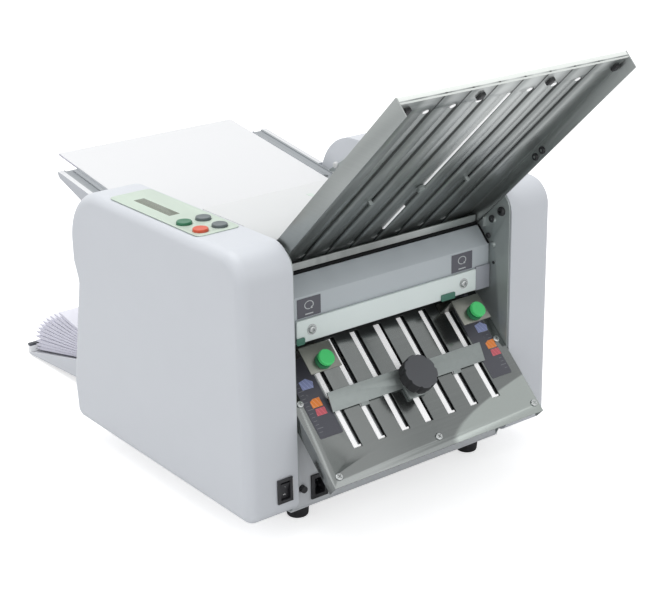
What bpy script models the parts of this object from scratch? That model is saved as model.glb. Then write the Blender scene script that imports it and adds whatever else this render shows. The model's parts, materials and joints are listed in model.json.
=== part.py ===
"""Table-top paper folding machine: two buckle fold plates at the front, a sloping feed table and a
delivery tray at the back, and five rubber rollers driven by a motor inside the right cover.

Metres, +Z up. X runs across the machine, Y from the operator's side to the back, and the origin lies
under the middle of the whole machine, on the surface that the feet stand on.
"""

from math import acos, atan2, cos, pi, radians, sin, tan

import bmesh
import bpy
from mathutils import Euler, Matrix, Vector

# Clearances
GAP = 0.0003
RUNNING_GAP = 0.0005
OVERRUN = 0.002
SLOT_OVERRUN = 0.001
WELD = 0.000001

# Body: two moulded covers outside two steel side frames, spaced to suit the widest sheet
SIDE_ROOM = 0.0238
COVER_WIDTH = 0.0727
COVER_OVERHANG = 0.022
COVER_BOTTOM = 0.032
COVER_TOP = 0.370
COVER_WALL = 0.003
COVER_EDGE_RADIUS = 0.014
EAR_RADIUS = 0.076
COVER_FRONT_RADIUS = 0.036
COVER_CORNER_RADIUS = 0.016
WAIST_RADIUS = 0.010
EAR_FLOOR = 0.300
EAR_LENGTH = 0.118
FRAME_THICKNESS = 0.002
FRAME_FRONT = 0.002
FRAME_TOE_Z = 0.060
FRAME_DEPTH = 0.396
FRAME_TOP_RADIUS = 0.022
FRAME_TOP_MARGIN = 0.008
# Corners of the cover's side outline, as shares of its depth and its height
COVER_CORNER_SHARES = (
    (0.0, 0.0),
    (0.990, 0.004),
    (1.0, 0.175),
    (0.926, 0.612),
    (0.950, 0.690),
    (0.950, 1.0),
    (0.0, 1.0),
)

# Base
FOOT_HEIGHT = 0.022
FOOT_RADIUS = 0.0155
FOOT_TOP_RADIUS = 0.0135
FOOT_INSET = 0.0275
FOOT_FRONT_Y = 0.045
FOOT_REAR_INSET = 0.036
BASE_THICKNESS = 0.002
PANEL_THICKNESS = 0.002
FRONT_PANEL_Y = 0.020
FRONT_PANEL_HEIGHT = 0.125
REAR_PANEL_HEIGHT = 0.262
EXIT_BOTTOM = 0.160
EXIT_HEIGHT = 0.056
EXIT_END_WALL = 0.0095
TIE_ROD_RADIUS = 0.006
TIE_ROD_Y = 0.225
TIE_ROD_Z = 0.345

# Mains inlet, circuit breaker and power switch
INLET_WIDTH = 0.025
INLET_HEIGHT = 0.032
INLET_DEPTH = 0.022
INLET_INSET = 0.041
INLET_Z = 0.047
INLET_RIM = 0.0025
INLET_RECESS = 0.013
PIN_SHARES = ((-0.5, -0.25), (0.5, -0.25), (0.0, 0.45))
BREAKER_INSET = 0.0155
BREAKER_Z = 0.050
BREAKER_RADIUS = 0.0045
BREAKER_HEIGHT = 0.006
BREAKER_TRAVEL = 0.003
SWITCH_WIDTH = 0.022
SWITCH_HEIGHT = 0.0315
SWITCH_INSET = 0.0207
SWITCH_Z = 0.068
SWITCH_RIM = 0.0025
SWITCH_DEPTH = 0.014
ROCKER_THICKNESS = 0.008
ROCKER_TILT = radians(9)

# Control panel on the left cover
LABEL_WIDTH = 0.061
LABEL_LENGTH = 0.204
LABEL_THICKNESS = 0.0006
LABEL_INSET = 0.0395
LABEL_Y = 0.198
LABEL_CORNER = 0.008
BUTTON_RADIUS = 0.0095
BUTTON_HEIGHT = 0.0035
BUTTON_TRAVEL = 0.0012
BUTTON_STEM_RADIUS = 0.004
BUTTON_FLAT_SHARE = 0.86
BUTTON_PITCH_X = 0.027
BUTTON_PITCH_Y = 0.035
BUTTON_SHIFT = 0.0155
BUTTON_Y = 0.1135
WINDOW_WIDTH = 0.016
WINDOW_LENGTH = 0.085
WINDOW_SHIFT = 0.0055
WINDOW_Y = 0.2265
WINDOW_THICKNESS = 0.002
BOARD_DEPTH = 0.018
BOARD_THICKNESS = 0.0016
BOARD_MARGIN = 0.003
SENSOR_SIZE = 0.006
PILLAR_RADIUS = 0.003

# Lower fold plate: s runs up the slope from its front edge, n stands out of its upper face
LOWER_TILT = radians(43.7)
LOWER_FRONT_Y = -0.069
LOWER_FRONT_Z = 0.089
LOWER_LENGTH = 0.222
# Upper fold plate: s runs down the slope from its top edge, n stands out of its hidden upper face
UPPER_TILT = radians(44.0)
UPPER_FOOT_Y = 0.0922
UPPER_FOOT_Z = 0.3013
UPPER_LENGTH = 0.384
SHEET_THICKNESS = 0.0015
SHEET_GAP = 0.004
FLANGE_THICKNESS = 0.0015
FLANGE_DEPTH = 0.016
SLOT_EDGE = 0.057
SLOT_COUNT = 7
SLOT_WIDTH = 0.013
LOWER_SLOT_START = 0.038
LOWER_SLOT_END_ROOM = 0.042
UPPER_SLOT_START = 0.028
UPPER_SLOT_END_ROOM = 0.034
PLATE_RAIL_WIDTH = 0.008
PLATE_RAIL_HEIGHT = 0.005
LOWER_RAIL_START = 0.110
UPPER_RAIL_ROOM = 0.020

# Fold stops: a tilted bar over the plate on a sliding block, with a tongue in the last slots but one
STOP_END_ROOM = 0.046
STOP_WIDTH = 0.0245
STOP_THICKNESS = 0.002
STOP_TILT = radians(19)
STOP_LIFT = 0.006
STOP_SHIFT = 0.0073
STOP_TONGUE_WIDTH = 0.005
STOP_TONGUE_THICKNESS = 0.003
STOP_TONGUE_SHIFT = 0.003
STOP_TAB_WIDTH = 0.012
STOP_TAB_REACH = 0.0045
STOP_BLOCK_WIDTH = 0.026
STOP_BLOCK_LENGTH = 0.041
STOP_BLOCK_HEIGHT = 0.004
STOP_COLLAR_RADIUS = 0.008
LOWER_STOP_S = 0.0923
UPPER_STOP_S = 0.226
UPPER_TONGUE_DROP = 0.005
STOP_NUT_RADIUS = 0.0055
STOP_NUT_HEIGHT = 0.005
STOP_KNOB_LIFT = 0.017
STOP_KNOB_RADIUS = 0.0225
STOP_KNOB_HEIGHT = 0.015
KNOB_LOBES = 9
KNOB_LOBE_DEPTH = 0.0016
SPINDLE_RADIUS = 0.003
SPINDLE_LENGTH = 0.006

# Green clamp knobs on their steel brackets
CLAMP_INSET = 0.0015
CLAMP_S = 0.1436
CLAMP_HEIGHT = 0.044
CLAMP_KNOB_RADIUS = 0.011
CLAMP_KNOB_HEIGHT = 0.013
BRACKET_WIDTH = 0.046
BRACKET_THICKNESS = 0.002
BRACKET_FOOT = 0.012
BRACKET_FRONT_ROOM = 0.0115
BRACKET_BACK_ROOM = 0.0245

# Upper plate clips
CLIP_WIDTH = 0.007
CLIP_LENGTH = 0.009
CLIP_HEIGHT = 0.004
CLIP_S = 0.019
CLIP_SHARES = (-0.88, -0.27, 0.34, 0.95)

# Front cover and its ivory bar
FRONT_COVER_Y = 0.038
FRONT_COVER_BOTTOM = 0.229
FRONT_COVER_CREASE = 0.288
FRONT_COVER_TOP_Y = 0.058
FRONT_COVER_TOP = 0.309
FRONT_COVER_THICKNESS = 0.0015
BAR_END_ROOM = 0.0255
BAR_BOTTOM = 0.231
BAR_HEIGHT = 0.029
BAR_THICKNESS = 0.004
BAR_SCREW_INSET = 0.022
BAR_SCREW_RADIUS = 0.005
BAR_SCREW_HEIGHT = 0.003
SUPPORT_Y = 0.061
SUPPORT_BOTTOM = 0.3125
SUPPORT_HEIGHT = 0.0095
SUPPORT_THICKNESS = 0.003

# Top cover, hinged at its back edge
LID_TOP = 0.369
LID_THICKNESS = 0.0025
LID_CREASE_Y = 0.100
LID_BACK_Y = 0.188
LID_FRONT_Y = 0.072
LID_FRONT_DROP = 0.016
LID_LIP = 0.020
HINGE_RADIUS = 0.0025
HINGE_INSET = 0.006
HINGE_DROP = 0.014

# Rollers
ROLLER_RADIUS = 0.0172
ROLLER_PITCH = 0.035
ROLLER_SHAFT_RADIUS = 0.005
ROLLER_END_GAP = 0.008
CENTRE_ROLLER_Y = 0.140
CENTRE_ROLLER_Z = 0.272
TOP_ROLLER_ANGLE = radians(85)
FRONT_ROLLER_ANGLE = radians(0)
BACK_ROLLER_ANGLE = radians(-75)
FEED_ROLLER_Y = 0.200
FEED_ROLLER_Z = 0.308
FEED_ROLLER_RADIUS = 0.0215
FEED_TYRE_WIDTH = 0.100
DELIVERY_ROLLER_RADIUS = 0.012
DELIVERY_ROLLER_INSET = 0.024
DELIVERY_ROLLER_Z = 0.178
DELIVERY_WHEEL_WIDTH = 0.024
DELIVERY_WHEEL_SHARES = (-0.65, 0.0, 0.65)
BUSH_WALL = 0.002
BUSH_FLANGE = 0.0015

# Gears, pulleys and belts, outside the right side frame
GEAR_TEETH = 16
GEAR_TOOTH_HEIGHT = 0.0013
GEAR_WIDTH = 0.008
GEAR_OFFSET = 0.004
TOOTH_TIP_SHARE = 0.11
TOOTH_ROOT_SHARE = 0.27
PULLEY_WIDTH = 0.008
PULLEY_SPACING = 0.003
DRIVE_PULLEY_RADIUS = 0.030
MOTOR_PULLEY_RADIUS = 0.010
DELIVERY_PULLEY_RADIUS = 0.011
BELT_WIDTH = 0.006
BELT_THICKNESS = 0.0015
MOTOR_Y = 0.250
MOTOR_Z = 0.095
MOTOR_RADIUS = 0.034
MOTOR_LENGTH = 0.075
MOTOR_SHAFT_RADIUS = 0.004
MOTOR_PLATE = 0.003

# Paper path inside
PAD_WIDTH = 0.060
PAD_LENGTH = 0.034
PAD_THICKNESS = 0.004
DELIVERY_GUIDE_THICKNESS = 0.0015
DELIVERY_GUIDE_START_Y = 0.165
DELIVERY_GUIDE_GAP = 0.020
DELIVERY_GUIDE_START_Z = 0.232
DELIVERY_GUIDE_END_Z = 0.184

# Electrical boxes
SUPPLY_SIZE = (0.080, 0.080, 0.050)
SUPPLY_INSET = 0.0745
SUPPLY_Y = 0.120
SUPPLY_LUG = 0.008
MAIN_BOARD_LENGTH = 0.150
MAIN_BOARD_HEIGHT = 0.110
MAIN_BOARD_Y = 0.250
MAIN_BOARD_Z = 0.150
CHIP_SHARES = ((-0.3, 0.2, 0.20), (0.2, 0.25, 0.16), (0.05, -0.25, 0.24), (-0.35, -0.3, 0.12))
CHIP_HEIGHT = 0.010

# Feed table and what lies on it
TABLE_SLOPE = radians(9.5)
TABLE_FRONT_Y = 0.230
TABLE_FRONT_Z = 0.2875
TABLE_RUN = 0.310
TABLE_THICKNESS = 0.002
TABLE_RIM = 0.002
TABLE_RIM_REACH = 0.0085
TABLE_SKIRT = 0.028
TABLE_NOSE = 0.004
TABLE_SKIRT_GAP = 0.004
RIM_THICKNESS = 0.002
PAPER_LENGTH = 0.420
PAPER_WIDTH = 0.297
PAPER_THICKNESS = 0.003
PAPER_BACK_OVERHANG = 0.053
FENCE_HEIGHT = 0.0042
FENCE_THICKNESS = 0.002
FENCE_LENGTH = 0.178
FENCE_BACK = 0.004
FENCE_FOOT = 0.008

# Delivery tray
TRAY_SIDE_ROOM = 0.0095
TRAY_GAP = 0.008
TRAY_LENGTH = 0.317
TRAY_TIP_Z = 0.003
TRAY_SLOPE = radians(12.9)
TRAY_UNDER_SLOPE = radians(3.7)
TRAY_WALL = 0.002
TRAY_RIM = 0.007
TRAY_TIP_RIM = 0.003
TRAY_STOP_HEIGHT = 0.017
TRAY_STOP_THICKNESS = 0.005
TRAY_HOOK_LENGTH = 0.005
TRAY_HOOK_WIDTH = 0.020
TRAY_HOOK_HEIGHT = 0.012
TRAY_HOOK_SHARE = 0.75
FAN_HEIGHT = 0.165
FAN_NOTCH = 0.014
FAN_SHEET = 0.0075
FAN_START_SHARE = 0.21
FAN_PACK = 0.017
# Where each folded sheet's edge lies, as shares of the tray's length and the fan's height
FAN_TIP_SHARES = (
    (0.725, 0.56),
    (0.814, 0.48),
    (0.890, 0.39),
    (0.946, 0.30),
    (0.985, 0.21),
    (0.990, 0.12),
    (0.990, 0.055),
)

# Screws
SCREW_RADIUS = 0.0045
SCREW_HEIGHT = 0.002
SCREW_FLAT_SHARE = 0.6
# Places as x over the half width and s over the length of the fold plate that carries them
LOWER_SCREW_SHARES = ((-0.93, 0.055), (0.0, 0.070), (0.95, 0.060), (0.94, 0.500), (-0.94, 0.500))
UPPER_SCREW_SHARES = (0.49, 0.53)
# Places as y over the frame's depth and z over its height
FRAME_SCREW_SHARES = ((0.078, 0.880), (0.078, 0.782))

# Worked out from the sizes above
COVER_INNER_X = PAPER_WIDTH / 2 + SIDE_ROOM
HALF_BODY = COVER_INNER_X + COVER_WIDTH
COVER_DEPTH = FRAME_DEPTH + COVER_OVERHANG
EAR_FRONT = COVER_DEPTH - EAR_LENGTH
FRAME_OUTER_X = COVER_INNER_X - GAP
FRAME_INNER_X = FRAME_OUTER_X - FRAME_THICKNESS
BASE_TOP = FOOT_HEIGHT + GAP + BASE_THICKNESS
FRAME_TOE_Y = FRONT_PANEL_Y - PANEL_THICKNESS
FLOOR_Z = BASE_TOP + GAP
PLATE_HALF_WIDTH = FRAME_INNER_X - RUNNING_GAP
PLATE_STACK = 2 * SHEET_THICKNESS + SHEET_GAP
SLOT_PITCH = 2 * (PLATE_HALF_WIDTH - SLOT_EDGE) / (SLOT_COUNT - 1)
LOWER_SLOT_END = LOWER_LENGTH - LOWER_SLOT_END_ROOM
UPPER_SLOT_END = UPPER_LENGTH - UPPER_SLOT_END_ROOM
UPPER_TOP_Y = UPPER_FOOT_Y - UPPER_LENGTH * cos(UPPER_TILT)
UPPER_TOP_Z = UPPER_FOOT_Z + UPPER_LENGTH * sin(UPPER_TILT)
UPPER_RAIL_START = UPPER_LENGTH - UPPER_RAIL_ROOM
STOP_HALF_LENGTH = PLATE_HALF_WIDTH - STOP_END_ROOM
CLAMP_X = STOP_HALF_LENGTH - CLAMP_INSET
BAR_HALF_LENGTH = PLATE_HALF_WIDTH - BAR_END_ROOM
BAR_SCREW_X = BAR_HALF_LENGTH - BAR_SCREW_INSET
FOOT_X = PLATE_HALF_WIDTH - FOOT_INSET
FOOT_REAR_Y = FRAME_DEPTH - FOOT_REAR_INSET
EXIT_HALF_WIDTH = PLATE_HALF_WIDTH - EXIT_END_WALL
INLET_X = INLET_INSET - PLATE_HALF_WIDTH
BREAKER_X = BREAKER_INSET - PLATE_HALF_WIDTH
SUPPLY_X = SUPPLY_INSET - PLATE_HALF_WIDTH
SWITCH_X = -COVER_INNER_X - SWITCH_INSET
LABEL_X = LABEL_INSET - HALF_BODY
BUTTON_X = LABEL_X - BUTTON_SHIFT
WINDOW_X = LABEL_X - WINDOW_SHIFT
DELIVERY_ROLLER_Y = FRAME_DEPTH - DELIVERY_ROLLER_INSET
DELIVERY_GUIDE_END_Y = DELIVERY_ROLLER_Y - DELIVERY_GUIDE_GAP
TABLE_BACK_Y = TABLE_FRONT_Y + TABLE_RUN
TABLE_SKIRT_START_Y = FRAME_DEPTH + TABLE_SKIRT_GAP
TRAY_HALF_WIDTH = PAPER_WIDTH / 2 + TRAY_SIDE_ROOM
TRAY_START_Y = FRAME_DEPTH + TRAY_GAP
TRAY_TIP_Y = TRAY_START_Y + TRAY_LENGTH
BACK_Y = TRAY_TIP_Y + TRAY_STOP_THICKNESS
FRONT_Y = UPPER_TOP_Y - FLANGE_DEPTH * sin(UPPER_TILT)
CENTRE_Y = (BACK_Y + FRONT_Y) / 2
FRAME_TOP = COVER_TOP - FRAME_TOP_MARGIN

PARTS = "paper_folding_machine"
CUTTERS = "cutters"


def clear_scene():
    for old in list(bpy.data.objects):
        bpy.data.objects.remove(old, do_unlink=True)


def collection(name):
    made = bpy.data.collections.new(name)
    bpy.context.scene.collection.children.link(made)
    return made


def finish(name, colour, roughness, metallic=0.0):
    made = bpy.data.materials.new(name)
    made.use_nodes = True
    shader = made.node_tree.nodes["Principled BSDF"]
    shader.inputs["Base Color"].default_value = (*colour, 1.0)
    shader.inputs["Roughness"].default_value = roughness
    shader.inputs["Metallic"].default_value = metallic
    return made


def empty(name, location=(0, 0, 0), rotation=(0, 0, 0), parent=None):
    made = bpy.data.objects.new(name, None)
    made.location = location
    made.rotation_euler = rotation
    made.parent = parent
    parts.objects.link(made)
    return made


# Shapes: each returns a bmesh

def turn_to(shape, axis):
    if axis == "X":
        bmesh.ops.rotate(shape, matrix=Matrix.Rotation(pi / 2, 3, "Y"), verts=shape.verts)
    if axis == "Y":
        bmesh.ops.rotate(shape, matrix=Matrix.Rotation(-pi / 2, 3, "X"), verts=shape.verts)
    return shape


def moved(shape, centre):
    bmesh.ops.translate(shape, vec=Vector(centre), verts=shape.verts)
    return shape


def rotated(shape, angle, axis="X"):
    bmesh.ops.rotate(shape, matrix=Matrix.Rotation(angle, 3, axis), verts=shape.verts)
    return shape


def box(low, high):
    shape = bmesh.new()
    bmesh.ops.create_cube(shape, size=1.0)
    size = Vector(high) - Vector(low)
    bmesh.ops.scale(shape, vec=size, verts=shape.verts)
    return moved(shape, (Vector(high) + Vector(low)) / 2)


def rod(radius, length, centre=(0, 0, 0), axis="Z", top_radius=None, segments=24):
    shape = bmesh.new()
    bmesh.ops.create_cone(
        shape,
        cap_ends=True,
        segments=segments,
        radius1=radius,
        radius2=radius if top_radius is None else top_radius,
        depth=length,
    )
    return moved(turn_to(shape, axis), centre)


def evaluated(maker):
    """The mesh of a modelling object, with the object removed."""
    bpy.context.view_layer.update()
    graph = bpy.context.evaluated_depsgraph_get()
    mesh = bpy.data.meshes.new_from_object(maker.evaluated_get(graph))
    shape = bmesh.new()
    shape.from_mesh(mesh)
    bmesh.ops.remove_doubles(shape, verts=shape.verts, dist=WELD)
    bpy.data.meshes.remove(mesh)
    bpy.data.objects.remove(maker, do_unlink=True)
    return shape


def outline(points, thickness, holes=()):
    """A flat piece: points in local X and Y, its thickness centred on local Z."""
    curve = bpy.data.curves.new("outline", "CURVE")
    curve.dimensions = "2D"
    curve.fill_mode = "BOTH"
    curve.extrude = thickness / 2
    for loop in (points, *holes):
        spline = curve.splines.new("POLY")
        spline.points.add(len(loop) - 1)
        for target, point in zip(spline.points, loop):
            target.co = (point[0], point[1], 0, 1)
        spline.use_cyclic_u = True
    maker = bpy.data.objects.new("outline", curve)
    parts.objects.link(maker)
    return evaluated(maker)


def side_view(shape, x):
    """Stands a flat piece drawn in (y, z) upright, centred at x."""
    turn = Euler((pi / 2, 0, pi / 2)).to_matrix()
    bmesh.ops.rotate(shape, matrix=turn, verts=shape.verts)
    shape.normal_update()
    return moved(shape, (x, 0, 0))


def front_view(shape, y):
    """Stands a flat piece drawn in (x, z) upright, centred at y."""
    bmesh.ops.rotate(shape, matrix=Matrix.Rotation(pi / 2, 3, "X"), verts=shape.verts)
    return moved(shape, (0, y, 0))


def turned(profile, segments=24, axis="Z", centre=(0, 0, 0), closed=False):
    """A turned piece: its profile (radius, height) runs from top to bottom down the outer side."""
    mesh = bpy.data.meshes.new("profile")
    edges = [(index, index + 1) for index in range(len(profile) - 1)]
    if closed:
        edges.append((len(profile) - 1, 0))
    mesh.from_pydata([(radius, 0, height) for radius, height in profile], edges, [])
    maker = bpy.data.objects.new("profile", mesh)
    parts.objects.link(maker)
    screw = maker.modifiers.new("turn", "SCREW")
    screw.steps = segments
    screw.render_steps = segments
    screw.use_merge_vertices = True
    screw.merge_threshold = 0.00001
    return moved(turn_to(evaluated(maker), axis), centre)


def circle(radius, segments, centre=(0, 0)):
    steps = [2 * pi * step / segments for step in range(segments)]
    return [(centre[0] + radius * cos(angle), centre[1] + radius * sin(angle)) for angle in steps]


def rounded(corners, radii, steps=5):
    """The corners of an outline, each made an arc of its own radius."""
    points = []
    count = len(corners)
    for index, corner in enumerate(corners):
        here = Vector(corner)
        back = (Vector(corners[index - 1]) - here).normalized()
        ahead = (Vector(corners[(index + 1) % count]) - here).normalized()
        radius = radii[index]
        if radius == 0:
            points.append(tuple(here))
            continue
        half = acos(max(-1, min(1, back.dot(ahead)))) / 2
        middle = here + (back + ahead).normalized() * radius / sin(half)
        start = here + back * radius / tan(half) - middle
        end = here + ahead * radius / tan(half) - middle
        first = atan2(start.y, start.x)
        sweep = (atan2(end.y, end.x) - first + pi) % (2 * pi) - pi
        for step in range(steps + 1):
            angle = first + sweep * step / steps
            points.append((middle.x + radius * cos(angle), middle.y + radius * sin(angle)))
    return points


def merged(shapes):
    """Several shapes as one bmesh, still separate bodies."""
    whole = bmesh.new()
    for shape in shapes:
        piece = bpy.data.meshes.new("piece")
        shape.to_mesh(piece)
        shape.free()
        whole.from_mesh(piece)
        bpy.data.meshes.remove(piece)
    return whole


def mesh_object(name, shape, where):
    mesh = bpy.data.meshes.new(name)
    shape.to_mesh(mesh)
    shape.free()
    made = bpy.data.objects.new(name, mesh)
    where.objects.link(made)
    return made


def combined(shape, operation, tools):
    """The shape with each tool united to it or taken away from it, where both were drawn."""
    if not tools:
        return shape
    body = mesh_object("body", shape, parts)
    cutting = []
    for tool in tools:
        cutter = mesh_object("cutter", tool, cutters)
        cutter.hide_render = True
        cutter.display_type = "WIRE"
        step = body.modifiers.new("step", "BOOLEAN")
        step.operation = operation
        step.object = cutter
        step.solver = "EXACT"
        cutting.append(cutter)
    result = evaluated(body)
    for cutter in cutting:
        bpy.data.objects.remove(cutter, do_unlink=True)
    return result


def make(name, shape, material, location=(0, 0, 0), rotation=(0, 0, 0), parent=None, joins=(), cuts=()):
    """One named piece: its shape with the joins united to it, then the cuts taken away."""
    whole = combined(combined(shape, "UNION", joins), "DIFFERENCE", cuts)
    made = mesh_object(name, whole, parts)
    made.location = location
    made.rotation_euler = rotation
    made.parent = parent or machine
    made.data.materials.append(material)
    made.data.shade_smooth()
    made.data.set_sharp_from_angle(angle=radians(35))
    return made


def screw_shape(centre, axis, outward, radius=SCREW_RADIUS, height=SCREW_HEIGHT):
    """A pan head that starts at centre and stands outward (+1 or -1) along the axis."""
    top = height + GAP
    profile = [
        (0, top),
        (radius * SCREW_FLAT_SHARE, top),
        (radius, top - height / 2),
        (radius, GAP),
        (0, GAP),
    ]
    shape = turned(profile, 12)
    if outward < 0:
        rotated(shape, pi)
    return moved(turn_to(shape, axis), centre)


# Covers and frames

def cover_outline(inset=0.0):
    """The cover's side outline, its straight lines moved in by the inset and its arcs shrunk to suit."""
    height = COVER_TOP - COVER_BOTTOM
    corners = [
        Vector((share * COVER_DEPTH, COVER_BOTTOM + rise * height)) for share, rise in COVER_CORNER_SHARES
    ]
    radii = [
        COVER_CORNER_RADIUS / 2,
        COVER_CORNER_RADIUS,
        COVER_FRONT_RADIUS,
        WAIST_RADIUS,
        COVER_CORNER_RADIUS,
        EAR_RADIUS,
        COVER_FRONT_RADIUS,
    ]
    places = []
    inner_radii = []
    for index, corner in enumerate(corners):
        before = (corner - corners[index - 1]).normalized()
        after = (corners[(index + 1) % len(corners)] - corner).normalized()
        turn = before.x * after.y - before.y * after.x
        half = acos(max(-1, min(1, before.dot(after)))) / 2
        inward = (after - before).normalized() if turn > 0 else (before - after).normalized()
        places.append(corner + inward * inset / cos(half))
        inner_radii.append(max(radii[index] - inset, 2 * GAP) if turn > 0 else radii[index] + inset)
    return rounded(places, inner_radii)


def loft(sections):
    """A solid through sections of equal numbers of points, closed at both ends."""
    shape = bmesh.new()
    rings = [[shape.verts.new(point) for point in section] for section in sections]
    for near, far in zip(rings, rings[1:]):
        for index in range(len(near)):
            shape.faces.new((near[index - 1], near[index], far[index], far[index - 1]))
    shape.faces.new(rings[0])
    shape.faces.new(rings[-1])
    bmesh.ops.recalc_face_normals(shape, faces=shape.faces)
    return shape


def cover_body(side, start, end, inset, radius, steps=4):
    """The outline from x = start to x = end, its outer edge rounded by the radius."""
    layers = [(start, inset)]
    for step in range(steps + 1):
        angle = pi / 2 * step / steps
        layers.append((end - radius * (1 - sin(angle)), inset + radius * (1 - cos(angle))))
    return loft([
        [(side * x, y, z) for y, z in cover_outline(in_by)] for x, in_by in layers
    ])


def cover(name, side):
    """A moulded cover: rounded at its outer edge, hollow, and open towards the frame but for its ear."""
    shell = cover_body(side, COVER_INNER_X, HALF_BODY, 0, COVER_EDGE_RADIUS)
    cavity = cover_body(
        side,
        COVER_INNER_X - COVER_WALL,
        HALF_BODY - COVER_WALL,
        COVER_WALL,
        COVER_EDGE_RADIUS - COVER_WALL,
    )
    keep_x = sorted((side * (COVER_INNER_X - 2 * COVER_WALL), side * (COVER_INNER_X + COVER_WALL)))
    keep = box((keep_x[0], EAR_FRONT, EAR_FLOOR), (keep_x[1], COVER_DEPTH, COVER_TOP))
    cuts = [combined(cavity, "DIFFERENCE", [keep])]
    if side < 0:
        cuts.append(merged([*button_holes(), window_hole(), switch_hole()]))
    make(name, shell, white_plastic, cuts=cuts)


def button_places():
    for row in (0, 1):
        for column in (0, 1):
            yield BUTTON_X + column * BUTTON_PITCH_X, BUTTON_Y + row * BUTTON_PITCH_Y


def button_holes():
    depth = COVER_WALL + LABEL_THICKNESS + OVERRUN
    return [
        rod(BUTTON_RADIUS + RUNNING_GAP, 2 * depth, (x, y, COVER_TOP)) for x, y in button_places()
    ]


def window_hole():
    half = Vector((WINDOW_WIDTH / 2 + GAP, WINDOW_LENGTH / 2 + GAP, COVER_WALL + OVERRUN))
    middle = Vector((WINDOW_X, WINDOW_Y, COVER_TOP))
    return box(middle - half, middle + half)


def switch_hole():
    half = Vector((
        SWITCH_WIDTH / 2 - SWITCH_RIM + GAP,
        COVER_WALL + OVERRUN,
        SWITCH_HEIGHT / 2 - SWITCH_RIM + GAP,
    ))
    middle = Vector((SWITCH_X, 0, SWITCH_Z))
    return box(middle - half, middle + half)


def frame_outline():
    corners = [
        (FRAME_TOE_Y, FLOOR_Z),
        (FRAME_DEPTH, FLOOR_Z),
        (FRAME_DEPTH, EAR_FLOOR),
        (EAR_FRONT, FRAME_TOP),
        (FRAME_FRONT, FRAME_TOP),
        (FRAME_FRONT, FRAME_TOE_Z),
    ]
    return rounded(corners, [0, 0, FRAME_TOP_RADIUS, FRAME_TOP_RADIUS, FRAME_TOP_RADIUS, 0])


def shaft_places():
    """(y, z, shaft radius) of every shaft that runs in the side frames."""
    places = [(y, z, ROLLER_SHAFT_RADIUS) for y, z in roller_places().values()]
    places.append((FEED_ROLLER_Y, FEED_ROLLER_Z, ROLLER_SHAFT_RADIUS))
    places += [(DELIVERY_ROLLER_Y, z, ROLLER_SHAFT_RADIUS) for z in delivery_heights()]
    return places


def delivery_heights():
    return (DELIVERY_ROLLER_Z, DELIVERY_ROLLER_Z + 2 * DELIVERY_ROLLER_RADIUS + RUNNING_GAP)


def frame(name, side):
    middle = side * (FRAME_INNER_X + FRAME_OUTER_X) / 2
    joins = [*plate_ledges(side), merged(bushes(side)), merged(frame_screws(side))]
    if side > 0:
        joins.append(idler_pin())
    plate = side_view(outline(frame_outline(), FRAME_THICKNESS), middle)
    make(name, plate, steel, joins=joins, cuts=[merged(shaft_bores(side))])


# Base

def base():
    plate = box(
        (-FRAME_OUTER_X, FRAME_TOE_Y, FOOT_HEIGHT + GAP),
        (FRAME_OUTER_X, FRAME_DEPTH, BASE_TOP),
    )
    make("base_plate", plate, light_paint)
    for side, hand in ((-1, "left"), (1, "right")):
        for y, end in ((FOOT_FRONT_Y, "front"), (FOOT_REAR_Y, "back")):
            foot = rod(FOOT_TOP_RADIUS, FOOT_HEIGHT, top_radius=FOOT_RADIUS, segments=20)
            make(f"rubber_foot_{end}_{hand}", foot, rubber, (side * FOOT_X, y, FOOT_HEIGHT / 2))
    panel = box(
        (-PLATE_HALF_WIDTH, FRONT_PANEL_Y - PANEL_THICKNESS, FLOOR_Z),
        (PLATE_HALF_WIDTH, FRONT_PANEL_Y, FLOOR_Z + FRONT_PANEL_HEIGHT),
    )
    inlet_half = Vector((
        INLET_WIDTH / 2 - INLET_RIM + GAP,
        OVERRUN + PANEL_THICKNESS,
        INLET_HEIGHT / 2 - INLET_RIM + GAP,
    ))
    inlet_middle = Vector((INLET_X, FRONT_PANEL_Y, INLET_Z))
    cuts = [
        box(inlet_middle - inlet_half, inlet_middle + inlet_half),
        rod(BREAKER_RADIUS + GAP, 4 * PANEL_THICKNESS, (BREAKER_X, FRONT_PANEL_Y, BREAKER_Z), "Y"),
    ]
    make("front_panel", panel, light_paint, cuts=cuts)
    rear = box(
        (-PLATE_HALF_WIDTH, FRAME_DEPTH - PANEL_THICKNESS, FLOOR_Z),
        (PLATE_HALF_WIDTH, FRAME_DEPTH, FLOOR_Z + REAR_PANEL_HEIGHT),
    )
    slot = box(
        (-EXIT_HALF_WIDTH, FRAME_DEPTH - PANEL_THICKNESS - OVERRUN, EXIT_BOTTOM),
        (EXIT_HALF_WIDTH, FRAME_DEPTH + OVERRUN, EXIT_BOTTOM + EXIT_HEIGHT),
    )
    make("rear_panel", rear, light_paint, cuts=[slot])


def tie_rod():
    place = (0, TIE_ROD_Y, TIE_ROD_Z)
    make("tie_rod", rod(TIE_ROD_RADIUS, 2 * (FRAME_INNER_X - GAP), place, "X", segments=16), bright_steel)


# Electrical inlet, breaker and switch

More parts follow.
